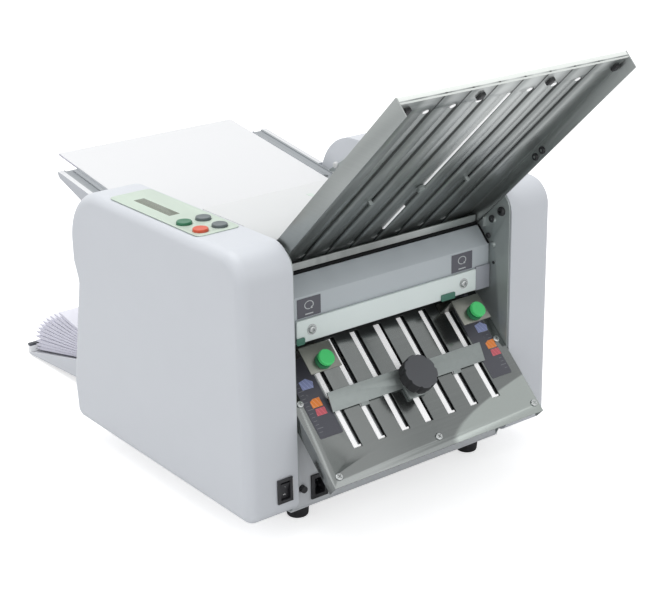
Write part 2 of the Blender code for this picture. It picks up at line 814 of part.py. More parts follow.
def inlet():
    middle = Vector((INLET_X, FRONT_PANEL_Y - PANEL_THICKNESS - GAP, INLET_Z))
    rim = box(
        middle + Vector((-INLET_WIDTH / 2, -INLET_RIM, -INLET_HEIGHT / 2)),
        middle + Vector((INLET_WIDTH / 2, 0, INLET_HEIGHT / 2)),
    )
    inner = Vector((INLET_WIDTH / 2 - INLET_RIM, 0, INLET_HEIGHT / 2 - INLET_RIM))
    front = Vector((0, INLET_RIM / 2, 0))
    body = box(middle - inner - front, middle + inner + Vector((0, INLET_DEPTH, 0)))
    recess_half = inner - Vector((INLET_RIM, 0, INLET_RIM))
    recess = box(
        middle - recess_half - Vector((0, INLET_RIM + OVERRUN, 0)),
        middle + recess_half + Vector((0, INLET_RECESS, 0)),
    )
    pins = []
    for share_x, share_z in PIN_SHARES:
        x = INLET_X + share_x * recess_half.x
        z = INLET_Z + share_z * recess_half.z
        pins.append(box(
            (x - INLET_RIM / 4, middle.y + INLET_RIM, z - INLET_RIM / 2),
            (x + INLET_RIM / 4, middle.y + INLET_RECESS + OVERRUN, z + INLET_RIM / 2),
        ))
    length = BREAKER_HEIGHT + PANEL_THICKNESS + BREAKER_HEIGHT
    start = FRONT_PANEL_Y - PANEL_THICKNESS - BREAKER_HEIGHT
    stem = rod(BREAKER_RADIUS, length, (BREAKER_X, start + length / 2, BREAKER_Z), "Y", segments=16)
    make("breaker_button", stem, black_plastic)
    base_y = start + length + BREAKER_TRAVEL + GAP
    breaker = box(
        (BREAKER_X - 2 * BREAKER_RADIUS, FRONT_PANEL_Y + GAP, BREAKER_Z - 2 * BREAKER_RADIUS),
        (BREAKER_X + 2 * BREAKER_RADIUS, base_y + BREAKER_HEIGHT, BREAKER_Z + 2 * BREAKER_RADIUS),
    )
    bore = box(
        (BREAKER_X - BREAKER_RADIUS - GAP, FRONT_PANEL_Y - OVERRUN, BREAKER_Z - BREAKER_RADIUS - GAP),
        (BREAKER_X + BREAKER_RADIUS + GAP, base_y, BREAKER_Z + BREAKER_RADIUS + GAP),
    )
    module = box(
        (BREAKER_X - 2 * BREAKER_RADIUS, FRONT_PANEL_Y + GAP, INLET_Z - INLET_HEIGHT / 2),
        (INLET_X + INLET_WIDTH / 2, FRONT_PANEL_Y + GAP + PANEL_THICKNESS, INLET_Z + INLET_HEIGHT / 2),
    )
    socket = combined(recess, "DIFFERENCE", [merged(pins)])
    make("mains_inlet", rim, black_plastic, joins=[body, module, breaker], cuts=[socket, bore])


def power_switch():
    middle = Vector((SWITCH_X, -GAP, SWITCH_Z))
    rim = box(
        middle + Vector((-SWITCH_WIDTH / 2, -SWITCH_RIM, -SWITCH_HEIGHT / 2)),
        middle + Vector((SWITCH_WIDTH / 2, 0, SWITCH_HEIGHT / 2)),
    )
    inner = Vector((SWITCH_WIDTH / 2 - SWITCH_RIM, 0, SWITCH_HEIGHT / 2 - SWITCH_RIM))
    front = Vector((0, SWITCH_RIM / 2, 0))
    body = box(middle - inner - front, middle + inner + Vector((0, SWITCH_DEPTH, 0)))
    well_half = inner - Vector((COVER_WALL / 2, 0, COVER_WALL / 2))
    well = box(
        middle - well_half - Vector((0, SWITCH_RIM + OVERRUN, 0)),
        middle + well_half + Vector((0, SWITCH_DEPTH - COVER_WALL, 0)),
    )
    make("power_switch_frame", rim, black_plastic, joins=[body], cuts=[well])
    half_x = well_half.x - RUNNING_GAP
    half_z = well_half.z - 2 * RUNNING_GAP
    corners = [
        (-ROCKER_THICKNESS / 2, -half_z),
        (ROCKER_THICKNESS / 2, -half_z + ROCKER_THICKNESS / 3),
        (ROCKER_THICKNESS / 2, half_z - ROCKER_THICKNESS / 3),
        (-ROCKER_THICKNESS / 2, half_z),
        (-ROCKER_THICKNESS / 4, 0),
    ]
    rocker = side_view(outline(corners, 2 * half_x), 0)
    make(
        "power_switch_rocker",
        rocker,
        black_plastic,
        (SWITCH_X, ROCKER_THICKNESS / 2 - SWITCH_RIM / 2, SWITCH_Z),
        (ROCKER_TILT, 0, 0),
    )


# Control panel

def control_panel():
    half_x = LABEL_WIDTH / 2
    half_y = LABEL_LENGTH / 2
    corners = [(-half_x, -half_y), (half_x, -half_y), (half_x, half_y), (-half_x, half_y)]
    holes = [
        circle(BUTTON_RADIUS + RUNNING_GAP, 20, (x - LABEL_X, y - LABEL_Y)) for x, y in button_places()
    ]
    x = WINDOW_X - LABEL_X
    y = WINDOW_Y - LABEL_Y
    label = outline(rounded(corners, [LABEL_CORNER] * 4, 4), LABEL_THICKNESS, holes)
    level = GAP + LABEL_THICKNESS / 2
    window = box(
        (x - WINDOW_WIDTH / 2, y - WINDOW_LENGTH / 2, LABEL_THICKNESS / 2 - WINDOW_THICKNESS),
        (x + WINDOW_WIDTH / 2, y + WINDOW_LENGTH / 2, 0),
    )
    make("control_panel_label", label, label_green, (LABEL_X, LABEL_Y, COVER_TOP + level), joins=[window])
    names = ("button_stop", "button_minus", "button_start", "button_plus")
    colours = (button_red, button_grey, button_green, button_grey)
    top = COVER_TOP + GAP + LABEL_THICKNESS + BUTTON_HEIGHT
    stem_end = COVER_TOP - BOARD_DEPTH + SENSOR_SIZE + BUTTON_TRAVEL + 2 * GAP
    for name, colour, (x, y) in zip(names, colours, button_places()):
        profile = [
            (0, top),
            (BUTTON_RADIUS * BUTTON_FLAT_SHARE, top),
            (BUTTON_RADIUS, top - BUTTON_HEIGHT / 3),
            (BUTTON_RADIUS, top - 3 * BUTTON_HEIGHT),
            (BUTTON_STEM_RADIUS, top - 3 * BUTTON_HEIGHT),
            (BUTTON_STEM_RADIUS, stem_end),
            (0, stem_end),
        ]
        make(name, turned([(r, z - top) for r, z in profile], 20), colour, (x, y, top))
    control_board()


def control_board():
    """The board under the buttons, held up by pillars and carrying the display."""
    level = COVER_TOP - BOARD_DEPTH
    half_x = LABEL_WIDTH / 2 - BOARD_MARGIN
    half_y = LABEL_LENGTH / 2 - BOARD_MARGIN
    board = box(
        (LABEL_X - half_x, LABEL_Y - half_y, level - BOARD_THICKNESS),
        (LABEL_X + half_x, LABEL_Y + half_y, level),
    )
    low = level - BOARD_THICKNESS / 2
    display_top = COVER_TOP + LABEL_THICKNESS - WINDOW_THICKNESS
    half = SENSOR_SIZE / 2
    joins = [
        box((x - half, y - half, low), (x + half, y + half, level + SENSOR_SIZE))
        for x, y in button_places()
    ]
    joins.append(box(
        (WINDOW_X - WINDOW_WIDTH / 2, WINDOW_Y - WINDOW_LENGTH / 2, low),
        (WINDOW_X + WINDOW_WIDTH / 2, WINDOW_Y + WINDOW_LENGTH / 2, display_top),
    ))
    high = COVER_TOP - COVER_WALL - GAP
    edge = PILLAR_RADIUS + GAP
    for side_x in (-1, 1):
        for side_y in (-1, 1):
            x = LABEL_X + side_x * (half_x - edge)
            y = LABEL_Y + side_y * (half_y - edge)
            joins.append(rod(PILLAR_RADIUS, high - low, (x, y, (high + low) / 2), segments=10))
    make("control_board", board, board_green, joins=[merged(joins)])


# Fold plates

def slot_places():
    return [(index - (SLOT_COUNT - 1) / 2) * SLOT_PITCH for index in range(SLOT_COUNT)]


def slots(start, end, width, low, high, rounding):
    """A cutter for each slot; rounding is 0 for square ends, or 1 for half-round ones."""
    cutting = []
    half = width / 2
    for x in slot_places():
        corners = [(x - half, start), (x + half, start), (x + half, end), (x - half, end)]
        flat = rounded(corners, [rounding * (half - GAP)] * 4, 4)
        cutting.append(moved(outline(flat, high - low + 2 * SLOT_OVERRUN), (0, 0, (low + high) / 2)))
    return cutting


def fold_plate(name, length, slot_start, slot_end, parent, up, rounding, fittings):
    """Two slotted sheets, `up` being +1 or -1 for the side of the seen sheet that the other lies on."""
    seen = sorted((0, up * SHEET_THICKNESS))
    other = sorted((up * (SHEET_THICKNESS + SHEET_GAP), up * PLATE_STACK))
    face = box((-PLATE_HALF_WIDTH, 0, seen[0]), (PLATE_HALF_WIDTH, length, seen[1]))
    edges = []
    for side in (-1, 1):
        outer = side * PLATE_HALF_WIDTH
        inner = outer - side * FLANGE_THICKNESS
        low = min(-FLANGE_DEPTH, up * PLATE_STACK - GAP)
        high = max(0, up * PLATE_STACK)
        edges.append(box((min(outer, inner), 0, low), (max(outer, inner), length, high)))
    half = PLATE_HALF_WIDTH - FLANGE_THICKNESS - GAP
    back = box((-half, OVERRUN, other[0]), (half, length, other[1]))
    for side in (-1, 1):
        inner = side * (half - PLATE_RAIL_WIDTH)
        low, high = sorted((up * SHEET_THICKNESS / 2, up * (PLATE_STACK - SHEET_THICKNESS / 2)))
        edges.append(box((min(inner, side * half), OVERRUN, low), (max(inner, side * half), length, high)))
    cuts = slots(slot_start, slot_end, SLOT_WIDTH, *seen, rounding)
    cuts += slots(slot_start, slot_end, SLOT_WIDTH, *other, rounding)
    make(name, face, steel, parent=parent, joins=[merged(edges), back, fittings], cuts=[merged(cuts)])


def plate_ledges(side):
    """The ledges on a side frame that the two fold plates rest on."""
    outer = side * (FRAME_INNER_X + FRAME_THICKNESS / 2)
    low_x, high_x = sorted((outer, side * (FRAME_INNER_X - PLATE_RAIL_WIDTH)))
    top = -FLANGE_DEPTH - GAP
    lower = box((low_x, LOWER_RAIL_START, top - PLATE_RAIL_HEIGHT), (high_x, LOWER_LENGTH, top))
    moved(rotated(lower, LOWER_TILT), (0, LOWER_FRONT_Y, LOWER_FRONT_Z))
    upper = box((low_x, UPPER_RAIL_START, top - PLATE_RAIL_HEIGHT), (high_x, UPPER_LENGTH, top))
    moved(rotated(upper, -UPPER_TILT), (0, UPPER_TOP_Y, UPPER_TOP_Z))
    return [lower, upper]


def tongue_places():
    places = slot_places()
    return places[1], places[-2]


def tilted(shape, base_n):
    """A shape drawn flat about the bar's middle, tilted with the bar and set over the plate."""
    return moved(rotated(shape, STOP_TILT), (0, STOP_SHIFT, base_n + STOP_LIFT))


def stop_tabs(base_n):
    """The two small tabs at the bar's lower edge, each over the last slot but one at its side."""
    edge = -STOP_WIDTH / 2
    half = STOP_THICKNESS / 2 - GAP / 2
    tabs = [
        box(
            (x - STOP_TAB_WIDTH / 2, edge - STOP_TAB_REACH, -half),
            (x + STOP_TAB_WIDTH / 2, edge + STOP_TAB_REACH, half),
        )
        for x in tongue_places()
    ]
    return tilted(merged(tabs), base_n)


def stop_bar(name, parent, s, base_n, depth, fittings=()):
    """A tilted bar on a sliding block, with two tongues of the given depth, a collar and a spindle."""
    flat = box(
        (-STOP_HALF_LENGTH, -STOP_WIDTH / 2, -STOP_THICKNESS / 2),
        (STOP_HALF_LENGTH, STOP_WIDTH / 2, STOP_THICKNESS / 2),
    )
    bar = tilted(flat, base_n)
    block = box(
        (-STOP_BLOCK_WIDTH / 2, -STOP_BLOCK_LENGTH / 2, base_n + GAP),
        (STOP_BLOCK_WIDTH / 2, STOP_BLOCK_LENGTH / 2, base_n + GAP + STOP_BLOCK_HEIGHT),
    )
    tongues = merged([
        box(
            (x - STOP_TONGUE_WIDTH / 2, STOP_SHIFT - STOP_TONGUE_THICKNESS / 2, base_n - depth),
            (x + STOP_TONGUE_WIDTH / 2, STOP_SHIFT + STOP_TONGUE_THICKNESS / 2, base_n + STOP_LIFT),
        )
        for x in (place + STOP_TONGUE_SHIFT for place in tongue_places())
    ])
    block_top = base_n + GAP + STOP_BLOCK_HEIGHT
    collar_top = base_n + STOP_KNOB_LIFT - GAP
    collar = rod(
        STOP_COLLAR_RADIUS,
        collar_top - block_top + STOP_BLOCK_HEIGHT / 2,
        (0, 0, (collar_top + block_top - STOP_BLOCK_HEIGHT / 2) / 2),
    )
    spindle_foot = (block_top + collar_top) / 2
    spindle_top = base_n + STOP_KNOB_LIFT + SPINDLE_LENGTH
    spindle = rod(
        SPINDLE_RADIUS,
        spindle_top - spindle_foot,
        (0, 0, (spindle_top + spindle_foot) / 2),
        segments=12,
    )
    joins = [block, tongues, stop_tabs(base_n), collar, spindle, *fittings]
    make(name, bar, steel, (0, s, 0), parent=parent, joins=joins)


def lobed(radius, lobes, depth, steps=4):
    count = lobes * steps
    angles = [2 * pi * index / count for index in range(count)]
    reach = [radius - depth * (1 - cos(lobes * angle)) / 2 for angle in angles]
    return [(far * cos(angle), far * sin(angle)) for far, angle in zip(reach, angles)]


def stop_knob(name, parent, s, base_n):
    low = base_n + STOP_KNOB_LIFT
    grip = outline(lobed(STOP_KNOB_RADIUS, KNOB_LOBES, KNOB_LOBE_DEPTH), STOP_KNOB_HEIGHT)
    moved(grip, (0, 0, STOP_KNOB_HEIGHT / 2))
    bore = rod(
        SPINDLE_RADIUS + GAP,
        2 * (SPINDLE_LENGTH + GAP),
        (0, 0, 0),
        segments=12,
    )
    make(name, grip, dark_plastic, (0, s, low), parent=parent, cuts=[bore])


def clamps(parent):
    """A steel bracket over each end of the lower stop's bar, with a knob standing on its shelf."""
    shelf = CLAMP_HEIGHT - CLAMP_KNOB_HEIGHT - GAP
    thick = BRACKET_THICKNESS
    web = BRACKET_BACK_ROOM
    bent = [
        (web - thick, GAP),
        (web + BRACKET_FOOT, GAP),
        (web + BRACKET_FOOT, GAP + thick),
        (web, GAP + thick),
        (web, shelf),
        (-BRACKET_FRONT_ROOM, shelf),
        (-BRACKET_FRONT_ROOM, shelf - thick),
        (web - thick, shelf - thick),
    ]
    for side, place in ((-1, "left"), (1, "right")):
        bracket = side_view(outline(bent, BRACKET_WIDTH), 0)
        where = (side * CLAMP_X, CLAMP_S, 0)
        make(f"clamp_bracket_{place}", bracket, bright_steel, where, parent=parent)
        profile = [
            (0, CLAMP_KNOB_HEIGHT),
            (CLAMP_KNOB_RADIUS * BUTTON_FLAT_SHARE, CLAMP_KNOB_HEIGHT),
            (CLAMP_KNOB_RADIUS, CLAMP_KNOB_HEIGHT * BUTTON_FLAT_SHARE),
            (CLAMP_KNOB_RADIUS, 0),
            (0, 0),
        ]
        where = (side * CLAMP_X, CLAMP_S, CLAMP_HEIGHT - CLAMP_KNOB_HEIGHT)
        make(f"clamp_knob_{place}", turned(profile, 24), button_green, where, parent=parent)


def lower_plate():
    frame_empty = empty("lower_plate_axis", (0, LOWER_FRONT_Y, LOWER_FRONT_Z), (LOWER_TILT, 0, 0), machine)
    screws = []
    for share_x, share_s in LOWER_SCREW_SHARES:
        centre = (share_x * PLATE_HALF_WIDTH, share_s * LOWER_LENGTH, -SHEET_THICKNESS / 2)
        screws.append(screw_shape(centre, "Z", 1, height=SCREW_HEIGHT + SHEET_THICKNESS / 2))
    fold_plate("lower_plate", LOWER_LENGTH, LOWER_SLOT_START, LOWER_SLOT_END, frame_empty, -1,
               0, merged(screws))
    stop_bar("lower_fold_stop", frame_empty, LOWER_STOP_S, 0, PLATE_STACK)
    stop_knob("lower_stop_knob", frame_empty, LOWER_STOP_S, 0)
    clamps(frame_empty)


def upper_plate():
    frame_empty = empty("upper_plate_axis", (0, UPPER_TOP_Y, UPPER_TOP_Z), (-UPPER_TILT, 0, 0), machine)
    fittings = []
    for share in CLIP_SHARES:
        x = share * PLATE_HALF_WIDTH
        fittings.append(box(
            (x - CLIP_WIDTH / 2, CLIP_S - CLIP_LENGTH / 2, -CLIP_HEIGHT),
            (x + CLIP_WIDTH / 2, CLIP_S + CLIP_LENGTH / 2, SHEET_THICKNESS / 2),
        ))
    for share in UPPER_SCREW_SHARES:
        centre = (PLATE_HALF_WIDTH - FLANGE_THICKNESS / 2, share * UPPER_LENGTH, -FLANGE_DEPTH / 2)
        fittings.append(screw_shape(centre, "X", -1, height=SCREW_HEIGHT + FLANGE_THICKNESS / 2))
    fold_plate("upper_plate", UPPER_LENGTH, UPPER_SLOT_START, UPPER_SLOT_END, frame_empty, 1,
               1, merged(fittings))
    stem_top = PLATE_STACK + GAP + STOP_BLOCK_HEIGHT / 2
    stem_foot = -GAP - STOP_NUT_HEIGHT / 2
    stem = rod(SPINDLE_RADIUS, stem_top - stem_foot, (0, 0, (stem_top + stem_foot) / 2), segments=12)
    nut = rod(STOP_NUT_RADIUS, STOP_NUT_HEIGHT, (0, 0, -GAP - STOP_NUT_HEIGHT / 2), segments=6)
    depth = PLATE_STACK + UPPER_TONGUE_DROP
    stop_bar("upper_fold_stop", frame_empty, UPPER_STOP_S, PLATE_STACK, depth, [stem, nut])
    stop_knob("upper_stop_knob", frame_empty, UPPER_STOP_S, PLATE_STACK)


# Front cover

def front_cover():
    thick = FRONT_COVER_THICKNESS
    profile = [
        (FRONT_COVER_Y, FRONT_COVER_BOTTOM),
        (FRONT_COVER_Y, FRONT_COVER_CREASE),
        (FRONT_COVER_TOP_Y, FRONT_COVER_TOP),
        (FRONT_COVER_TOP_Y + thick, FRONT_COVER_TOP - thick),
        (FRONT_COVER_Y + thick, FRONT_COVER_CREASE - thick / 2),
        (FRONT_COVER_Y + thick, FRONT_COVER_BOTTOM),
    ]
    make("front_cover", side_view(outline(profile, 2 * PLATE_HALF_WIDTH), 0), grey_paint)
    bar = box(
        (-BAR_HALF_LENGTH, FRONT_COVER_Y - GAP - BAR_THICKNESS, BAR_BOTTOM),
        (BAR_HALF_LENGTH, FRONT_COVER_Y - GAP, BAR_BOTTOM + BAR_HEIGHT),
    )
    make("front_bar", bar, ivory)
    face = FRONT_COVER_Y - GAP - BAR_THICKNESS
    for side, place in ((-1, "left"), (1, "right")):
        head = screw_shape((0, 0, 0), "Y", -1, radius=BAR_SCREW_RADIUS, height=BAR_SCREW_HEIGHT)
        mouth = (0, -BAR_SCREW_HEIGHT - GAP, 0)
        socket = rod(BAR_SCREW_RADIUS / 2, BAR_SCREW_HEIGHT, mouth, "Y", segments=6)
        where = (side * BAR_SCREW_X, face, BAR_BOTTOM + BAR_HEIGHT / 2)
        make(f"bar_screw_{place}", head, bright_steel, where, cuts=[socket])
    half = PLATE_HALF_WIDTH - FLANGE_THICKNESS - 2 * RUNNING_GAP
    support = box(
        (-half, SUPPORT_Y, SUPPORT_BOTTOM),
        (half, SUPPORT_Y + SUPPORT_THICKNESS, SUPPORT_BOTTOM + SUPPORT_HEIGHT),
    )
    seal = box(
        (-half, FRONT_COVER_TOP_Y, FRONT_COVER_TOP + GAP),
        (half, SUPPORT_Y + SUPPORT_THICKNESS / 2, SUPPORT_BOTTOM + GAP),
    )
    make("plate_support", support, bright_steel, joins=[seal])


def top_cover():
    thick = LID_THICKNESS
    hinge_y = LID_BACK_Y - HINGE_INSET
    hinge_z = LID_TOP - HINGE_DROP
    profile = [
        (LID_FRONT_Y, LID_TOP - LID_FRONT_DROP),
        (LID_FRONT_Y, LID_TOP - LID_FRONT_DROP - thick),
        (LID_CREASE_Y, LID_TOP - thick),
        (LID_BACK_Y - thick, LID_TOP - thick),
        (LID_BACK_Y - thick, LID_TOP - LID_LIP),
        (LID_BACK_Y, LID_TOP - LID_LIP),
        (LID_BACK_Y, LID_TOP),
        (LID_CREASE_Y, LID_TOP),
    ]
    profile = [(y - hinge_y, z - hinge_z) for y, z in profile]
    sheet = side_view(outline(profile, 2 * PLATE_HALF_WIDTH), 0)
    joins = []
    for side in (-1, 1):
        centre = side * (PLATE_HALF_WIDTH - thick / 2)
        cheek = rounded(
            [
                (-2 * HINGE_RADIUS, -2 * HINGE_RADIUS),
                (HINGE_INSET - thick / 2, -2 * HINGE_RADIUS),
                (HINGE_INSET - thick / 2, HINGE_DROP - thick / 2),
                (-HINGE_DROP, HINGE_DROP - thick / 2),
            ],
            [HINGE_RADIUS, 0, 0, 0],
        )
        joins.append(side_view(outline(cheek, thick), centre))
    make("top_cover", sheet, white_plastic, (0, hinge_y, hinge_z), joins=joins)


# Rollers

def roller_places():
    """Name and (y, z) of the four fold rollers: three stand round the centre one."""
    centre = (CENTRE_ROLLER_Y, CENTRE_ROLLER_Z)
    places = {"fold_roller_centre": centre}
    angles = (
        ("fold_roller_top", TOP_ROLLER_ANGLE),
        ("fold_roller_front", FRONT_ROLLER_ANGLE),
        ("fold_roller_back", BACK_ROLLER_ANGLE),
    )
    for name, angle in angles:
        places[name] = (
            CENTRE_ROLLER_Y - ROLLER_PITCH * cos(angle),
            CENTRE_ROLLER_Z + ROLLER_PITCH * sin(angle),
        )
    return places


def roller_profile(radius, shaft, end, half):
    return [
        (0, end),
        (shaft, end),
        (shaft, half),
        (radius, half),
        (radius, -half),
        (shaft, -half),
        (shaft, -FRAME_OUTER_X - GEAR_OFFSET / 2),
        (0, -FRAME_OUTER_X - GEAR_OFFSET / 2),
    ]


GEAR_START_X = FRAME_OUTER_X + GEAR_OFFSET
GEAR_END_X = GEAR_START_X + GEAR_WIDTH
PULLEY_START_X = GEAR_END_X + PULLEY_SPACING
PULLEY_END_X = PULLEY_START_X + PULLEY_WIDTH


def rollers():
    half = FRAME_INNER_X - ROLLER_END_GAP
    wheels = gears()
    for name, (y, z) in roller_places().items():
        end = PULLEY_END_X if name == "fold_roller_centre" else GEAR_END_X + OVERRUN
        profile = roller_profile(ROLLER_RADIUS, ROLLER_SHAFT_RADIUS, end, half)
        make(name, turned(profile, 24, "X"), rubber_roller, (0, y, z), joins=[wheels[name]])
    end = GEAR_END_X + OVERRUN
    profile = roller_profile(FEED_ROLLER_RADIUS, ROLLER_SHAFT_RADIUS, end, FEED_TYRE_WIDTH / 2)
    make("feed_roller", turned(profile, 24, "X"), rubber_roller, (0, FEED_ROLLER_Y, FEED_ROLLER_Z),
         joins=[wheels["feed_roller"]])
    make("gear_idler", wheels["gear_idler"], nylon, (0, *idler_place()))
    names = ("delivery_wheels", "delivery_roller")
    ends = (FRAME_OUTER_X + GEAR_OFFSET / 2, PULLEY_END_X)
    for name, z, end in zip(names, delivery_heights(), ends):
        profile = [(0, end), (ROLLER_SHAFT_RADIUS, end)]
        for share in reversed(DELIVERY_WHEEL_SHARES):
            middle = share * FRAME_INNER_X
            profile += [
                (ROLLER_SHAFT_RADIUS, middle + DELIVERY_WHEEL_WIDTH / 2),
                (DELIVERY_ROLLER_RADIUS, middle + DELIVERY_WHEEL_WIDTH / 2),
                (DELIVERY_ROLLER_RADIUS, middle - DELIVERY_WHEEL_WIDTH / 2),
                (ROLLER_SHAFT_RADIUS, middle - DELIVERY_WHEEL_WIDTH / 2),
            ]
        low = -FRAME_OUTER_X - GEAR_OFFSET / 2
        profile += [(ROLLER_SHAFT_RADIUS, low), (0, low)]
        joins = []
        if name == "delivery_roller":
            joins.append(pulley(DELIVERY_PULLEY_RADIUS, ROLLER_SHAFT_RADIUS - 2 * GAP))
        make(name, turned(profile, 16, "X"), rubber_roller, (0, DELIVERY_ROLLER_Y, z), joins=joins)


def bushes(side):
    """A flanged bush for each shaft, pressed into the frame from inside and bored later."""
    start = FRAME_INNER_X - BUSH_FLANGE
    length = BUSH_FLANGE + FRAME_THICKNESS / 2
    middle = side * (start + length / 2)
    return [
        rod(shaft + BUSH_WALL + GAP, length, (middle, y, z), "X", segments=16)
        for y, z, shaft in shaft_places()
    ]


def shaft_bores(side):
    bores = [
        rod(shaft + GAP, 2 * COVER_WIDTH, (side * FRAME_INNER_X, y, z), "X", segments=16)
        for y, z, shaft in shaft_places()
    ]
    if side > 0:
        radius = MOTOR_SHAFT_RADIUS + RUNNING_GAP
        bores.append(rod(radius, 2 * COVER_WIDTH, (FRAME_INNER_X, MOTOR_Y, MOTOR_Z), "X", segments=16))
    return bores


def frame_screws(side):
    height = FRAME_TOP - FLOOR_Z
    screws = []
    for share_y, share_z in FRAME_SCREW_SHARES:
        x = side * (FRAME_INNER_X + FRAME_THICKNESS / 2)
        centre = (x, share_y * FRAME_DEPTH, FLOOR_Z + share_z * height)
        screws.append(screw_shape(centre, "X", -side, height=SCREW_HEIGHT + FRAME_THICKNESS / 2))
    return screws


# Gears, pulleys and belts

def gear_points(phase):
    """A spur gear's outline, with one tooth's middle at the phase angle."""
    pitch = ROLLER_PITCH / 2
    points = []
    step = 2 * pi / GEAR_TEETH
    for tooth in range(GEAR_TEETH):
        middle = phase + tooth * step
        for reach, share in (
            (-GEAR_TOOTH_HEIGHT, -TOOTH_ROOT_SHARE),
            (GEAR_TOOTH_HEIGHT, -TOOTH_TIP_SHARE),
            (GEAR_TOOTH_HEIGHT, TOOTH_TIP_SHARE),
            (-GEAR_TOOTH_HEIGHT, TOOTH_ROOT_SHARE),
        ):
            angle = middle + share * step
            points.append(((pitch + reach) * cos(angle), (pitch + reach) * sin(angle)))
    return points


def meshed_phase(first, first_phase, second):
    """The phase that puts a gap of the second gear at the first gear's tooth."""
    along = atan2(second[1] - first[1], second[0] - first[0])
    return 2 * along + pi - pi / GEAR_TEETH - first_phase


def idler_place():
    """Above the line from the top roller to the feed roller, one pitch from each."""
    top = Vector(roller_places()["fold_roller_top"])
    feed = Vector((FEED_ROLLER_Y, FEED_ROLLER_Z))
    half = (feed - top) / 2
    rise = (ROLLER_PITCH ** 2 - half.length_squared) ** 0.5
    up = Vector((-half.y, half.x)).normalized()
    return tuple(top + half + up * rise)


def idler_pin():
    shoulder = GEAR_START_X - GEAR_OFFSET / 2
    root = FRAME_OUTER_X - FRAME_THICKNESS / 2
    profile = [
        (0, GEAR_END_X + GEAR_OFFSET / 2),
        (ROLLER_SHAFT_RADIUS, GEAR_END_X + GEAR_OFFSET / 2),
        (ROLLER_SHAFT_RADIUS, shoulder),
        (ROLLER_SHAFT_RADIUS + BUSH_WALL, shoulder),
        (ROLLER_SHAFT_RADIUS + BUSH_WALL, root),
        (0, root),
    ]
    return moved(turned(profile, 16, "X"), (0, *idler_place()))


def gears():
    """Every gear by the name of its shaft, drawn about its own axis."""
    places = roller_places()
    centre = places["fold_roller_centre"]
    idler = idler_place()
    feed = (FEED_ROLLER_Y, FEED_ROLLER_Z)
    phases = {"fold_roller_centre": 0.0}
    for name in ("fold_roller_top", "fold_roller_front", "fold_roller_back"):
        phases[name] = meshed_phase(centre, 0.0, places[name])
    idler_phase = meshed_phase(places["fold_roller_top"], phases["fold_roller_top"], idler)
    phases["gear_idler"] = idler_phase
    phases["feed_roller"] = meshed_phase(idler, idler_phase, feed)
    free_hub = circle(ROLLER_SHAFT_RADIUS + GAP, 16)
    fixed_hub = circle(ROLLER_SHAFT_RADIUS - 2 * GAP, 16)
    middle = (GEAR_START_X + GEAR_END_X) / 2
    wheels = {}
    for name, phase in phases.items():
        hub = free_hub if name == "gear_idler" else fixed_hub
        wheels[name] = side_view(outline(gear_points(phase), GEAR_WIDTH, [hub]), middle)
    return wheels


def pulley(radius, shaft):
    """A flanged belt pulley, drawn about its own axis."""
    start = PULLEY_START_X
    end = PULLEY_END_X
    rim = (PULLEY_WIDTH - BELT_WIDTH) / 2 - GAP
    lip = radius + BELT_THICKNESS
    profile = [
        (shaft + GAP, end),
        (lip, end),
        (lip, end - rim),
        (radius, end - rim),
        (radius, start + rim),
        (lip, start + rim),
        (lip, start),
        (shaft + GAP, start),
    ]
    return turned(profile, 24, "X", closed=True)


def belt_loop(wheels, extra, steps=8):
    """The outline of a belt round wheels of (y, z, radius), listed anticlockwise."""
    points = []
    count = len(wheels)
    for index, (y, z, radius) in enumerate(wheels):
        last = wheels[index - 1]
        after = wheels[(index + 1) % count]
        leave = atan2(after[1] - z, after[0] - y)
        leave -= acos((radius - after[2]) / Vector((after[0] - y, after[1] - z)).length)
        reach = atan2(z - last[1], y - last[0])
        reach -= acos((last[2] - radius) / Vector((y - last[0], z - last[1])).length)
        sweep = (leave - reach) % (2 * pi)
        far = (radius + GAP) / cos(sweep / steps / 2) + extra
        for step in range(steps + 1):
            angle = reach + sweep * step / steps
            points.append((y + far * cos(angle), z + far * sin(angle)))
    return points


def drive():
    motor = (MOTOR_Y, MOTOR_Z)
    centre = (CENTRE_ROLLER_Y, CENTRE_ROLLER_Z)
    delivery = (DELIVERY_ROLLER_Y, delivery_heights()[1])
    make("drive_pulley", pulley(DRIVE_PULLEY_RADIUS, ROLLER_SHAFT_RADIUS), nylon, (0, *centre))
    wheels = (
        (*motor, MOTOR_PULLEY_RADIUS),
        (*delivery, DELIVERY_PULLEY_RADIUS),
        (*centre, DRIVE_PULLEY_RADIUS),
    )
    loop = outline(belt_loop(wheels, BELT_THICKNESS), BELT_WIDTH, [belt_loop(wheels, 0)])
    make("drive_belt", side_view(loop, PULLEY_START_X + PULLEY_WIDTH / 2), rubber)
    back = FRAME_INNER_X - GAP
    can = rod(MOTOR_RADIUS, MOTOR_LENGTH, (back - MOTOR_PLATE - MOTOR_LENGTH / 2, *motor), "X", segments=24)
    half = MOTOR_RADIUS + OVERRUN
    plate = box(
        (back - MOTOR_PLATE - GAP, MOTOR_Y - half, MOTOR_Z - half),
        (back, MOTOR_Y + half, MOTOR_Z + half),
    )
    bore = rod(MOTOR_SHAFT_RADIUS + RUNNING_GAP, MOTOR_LENGTH, (back, *motor), "X", segments=16)
    make("motor", can, dark_steel, joins=[plate], cuts=[bore])
    start = back - MOTOR_LENGTH / 2 + OVERRUN
    length = PULLEY_END_X + OVERRUN - start
    shaft = rod(MOTOR_SHAFT_RADIUS, length, (start + length / 2, 0, 0), "X", segments=16)
    wheel = pulley(MOTOR_PULLEY_RADIUS, MOTOR_SHAFT_RADIUS - 2 * GAP)
    make("motor_shaft", shaft, bright_steel, (0, *motor), joins=[wheel])


# Paper path and electrics inside

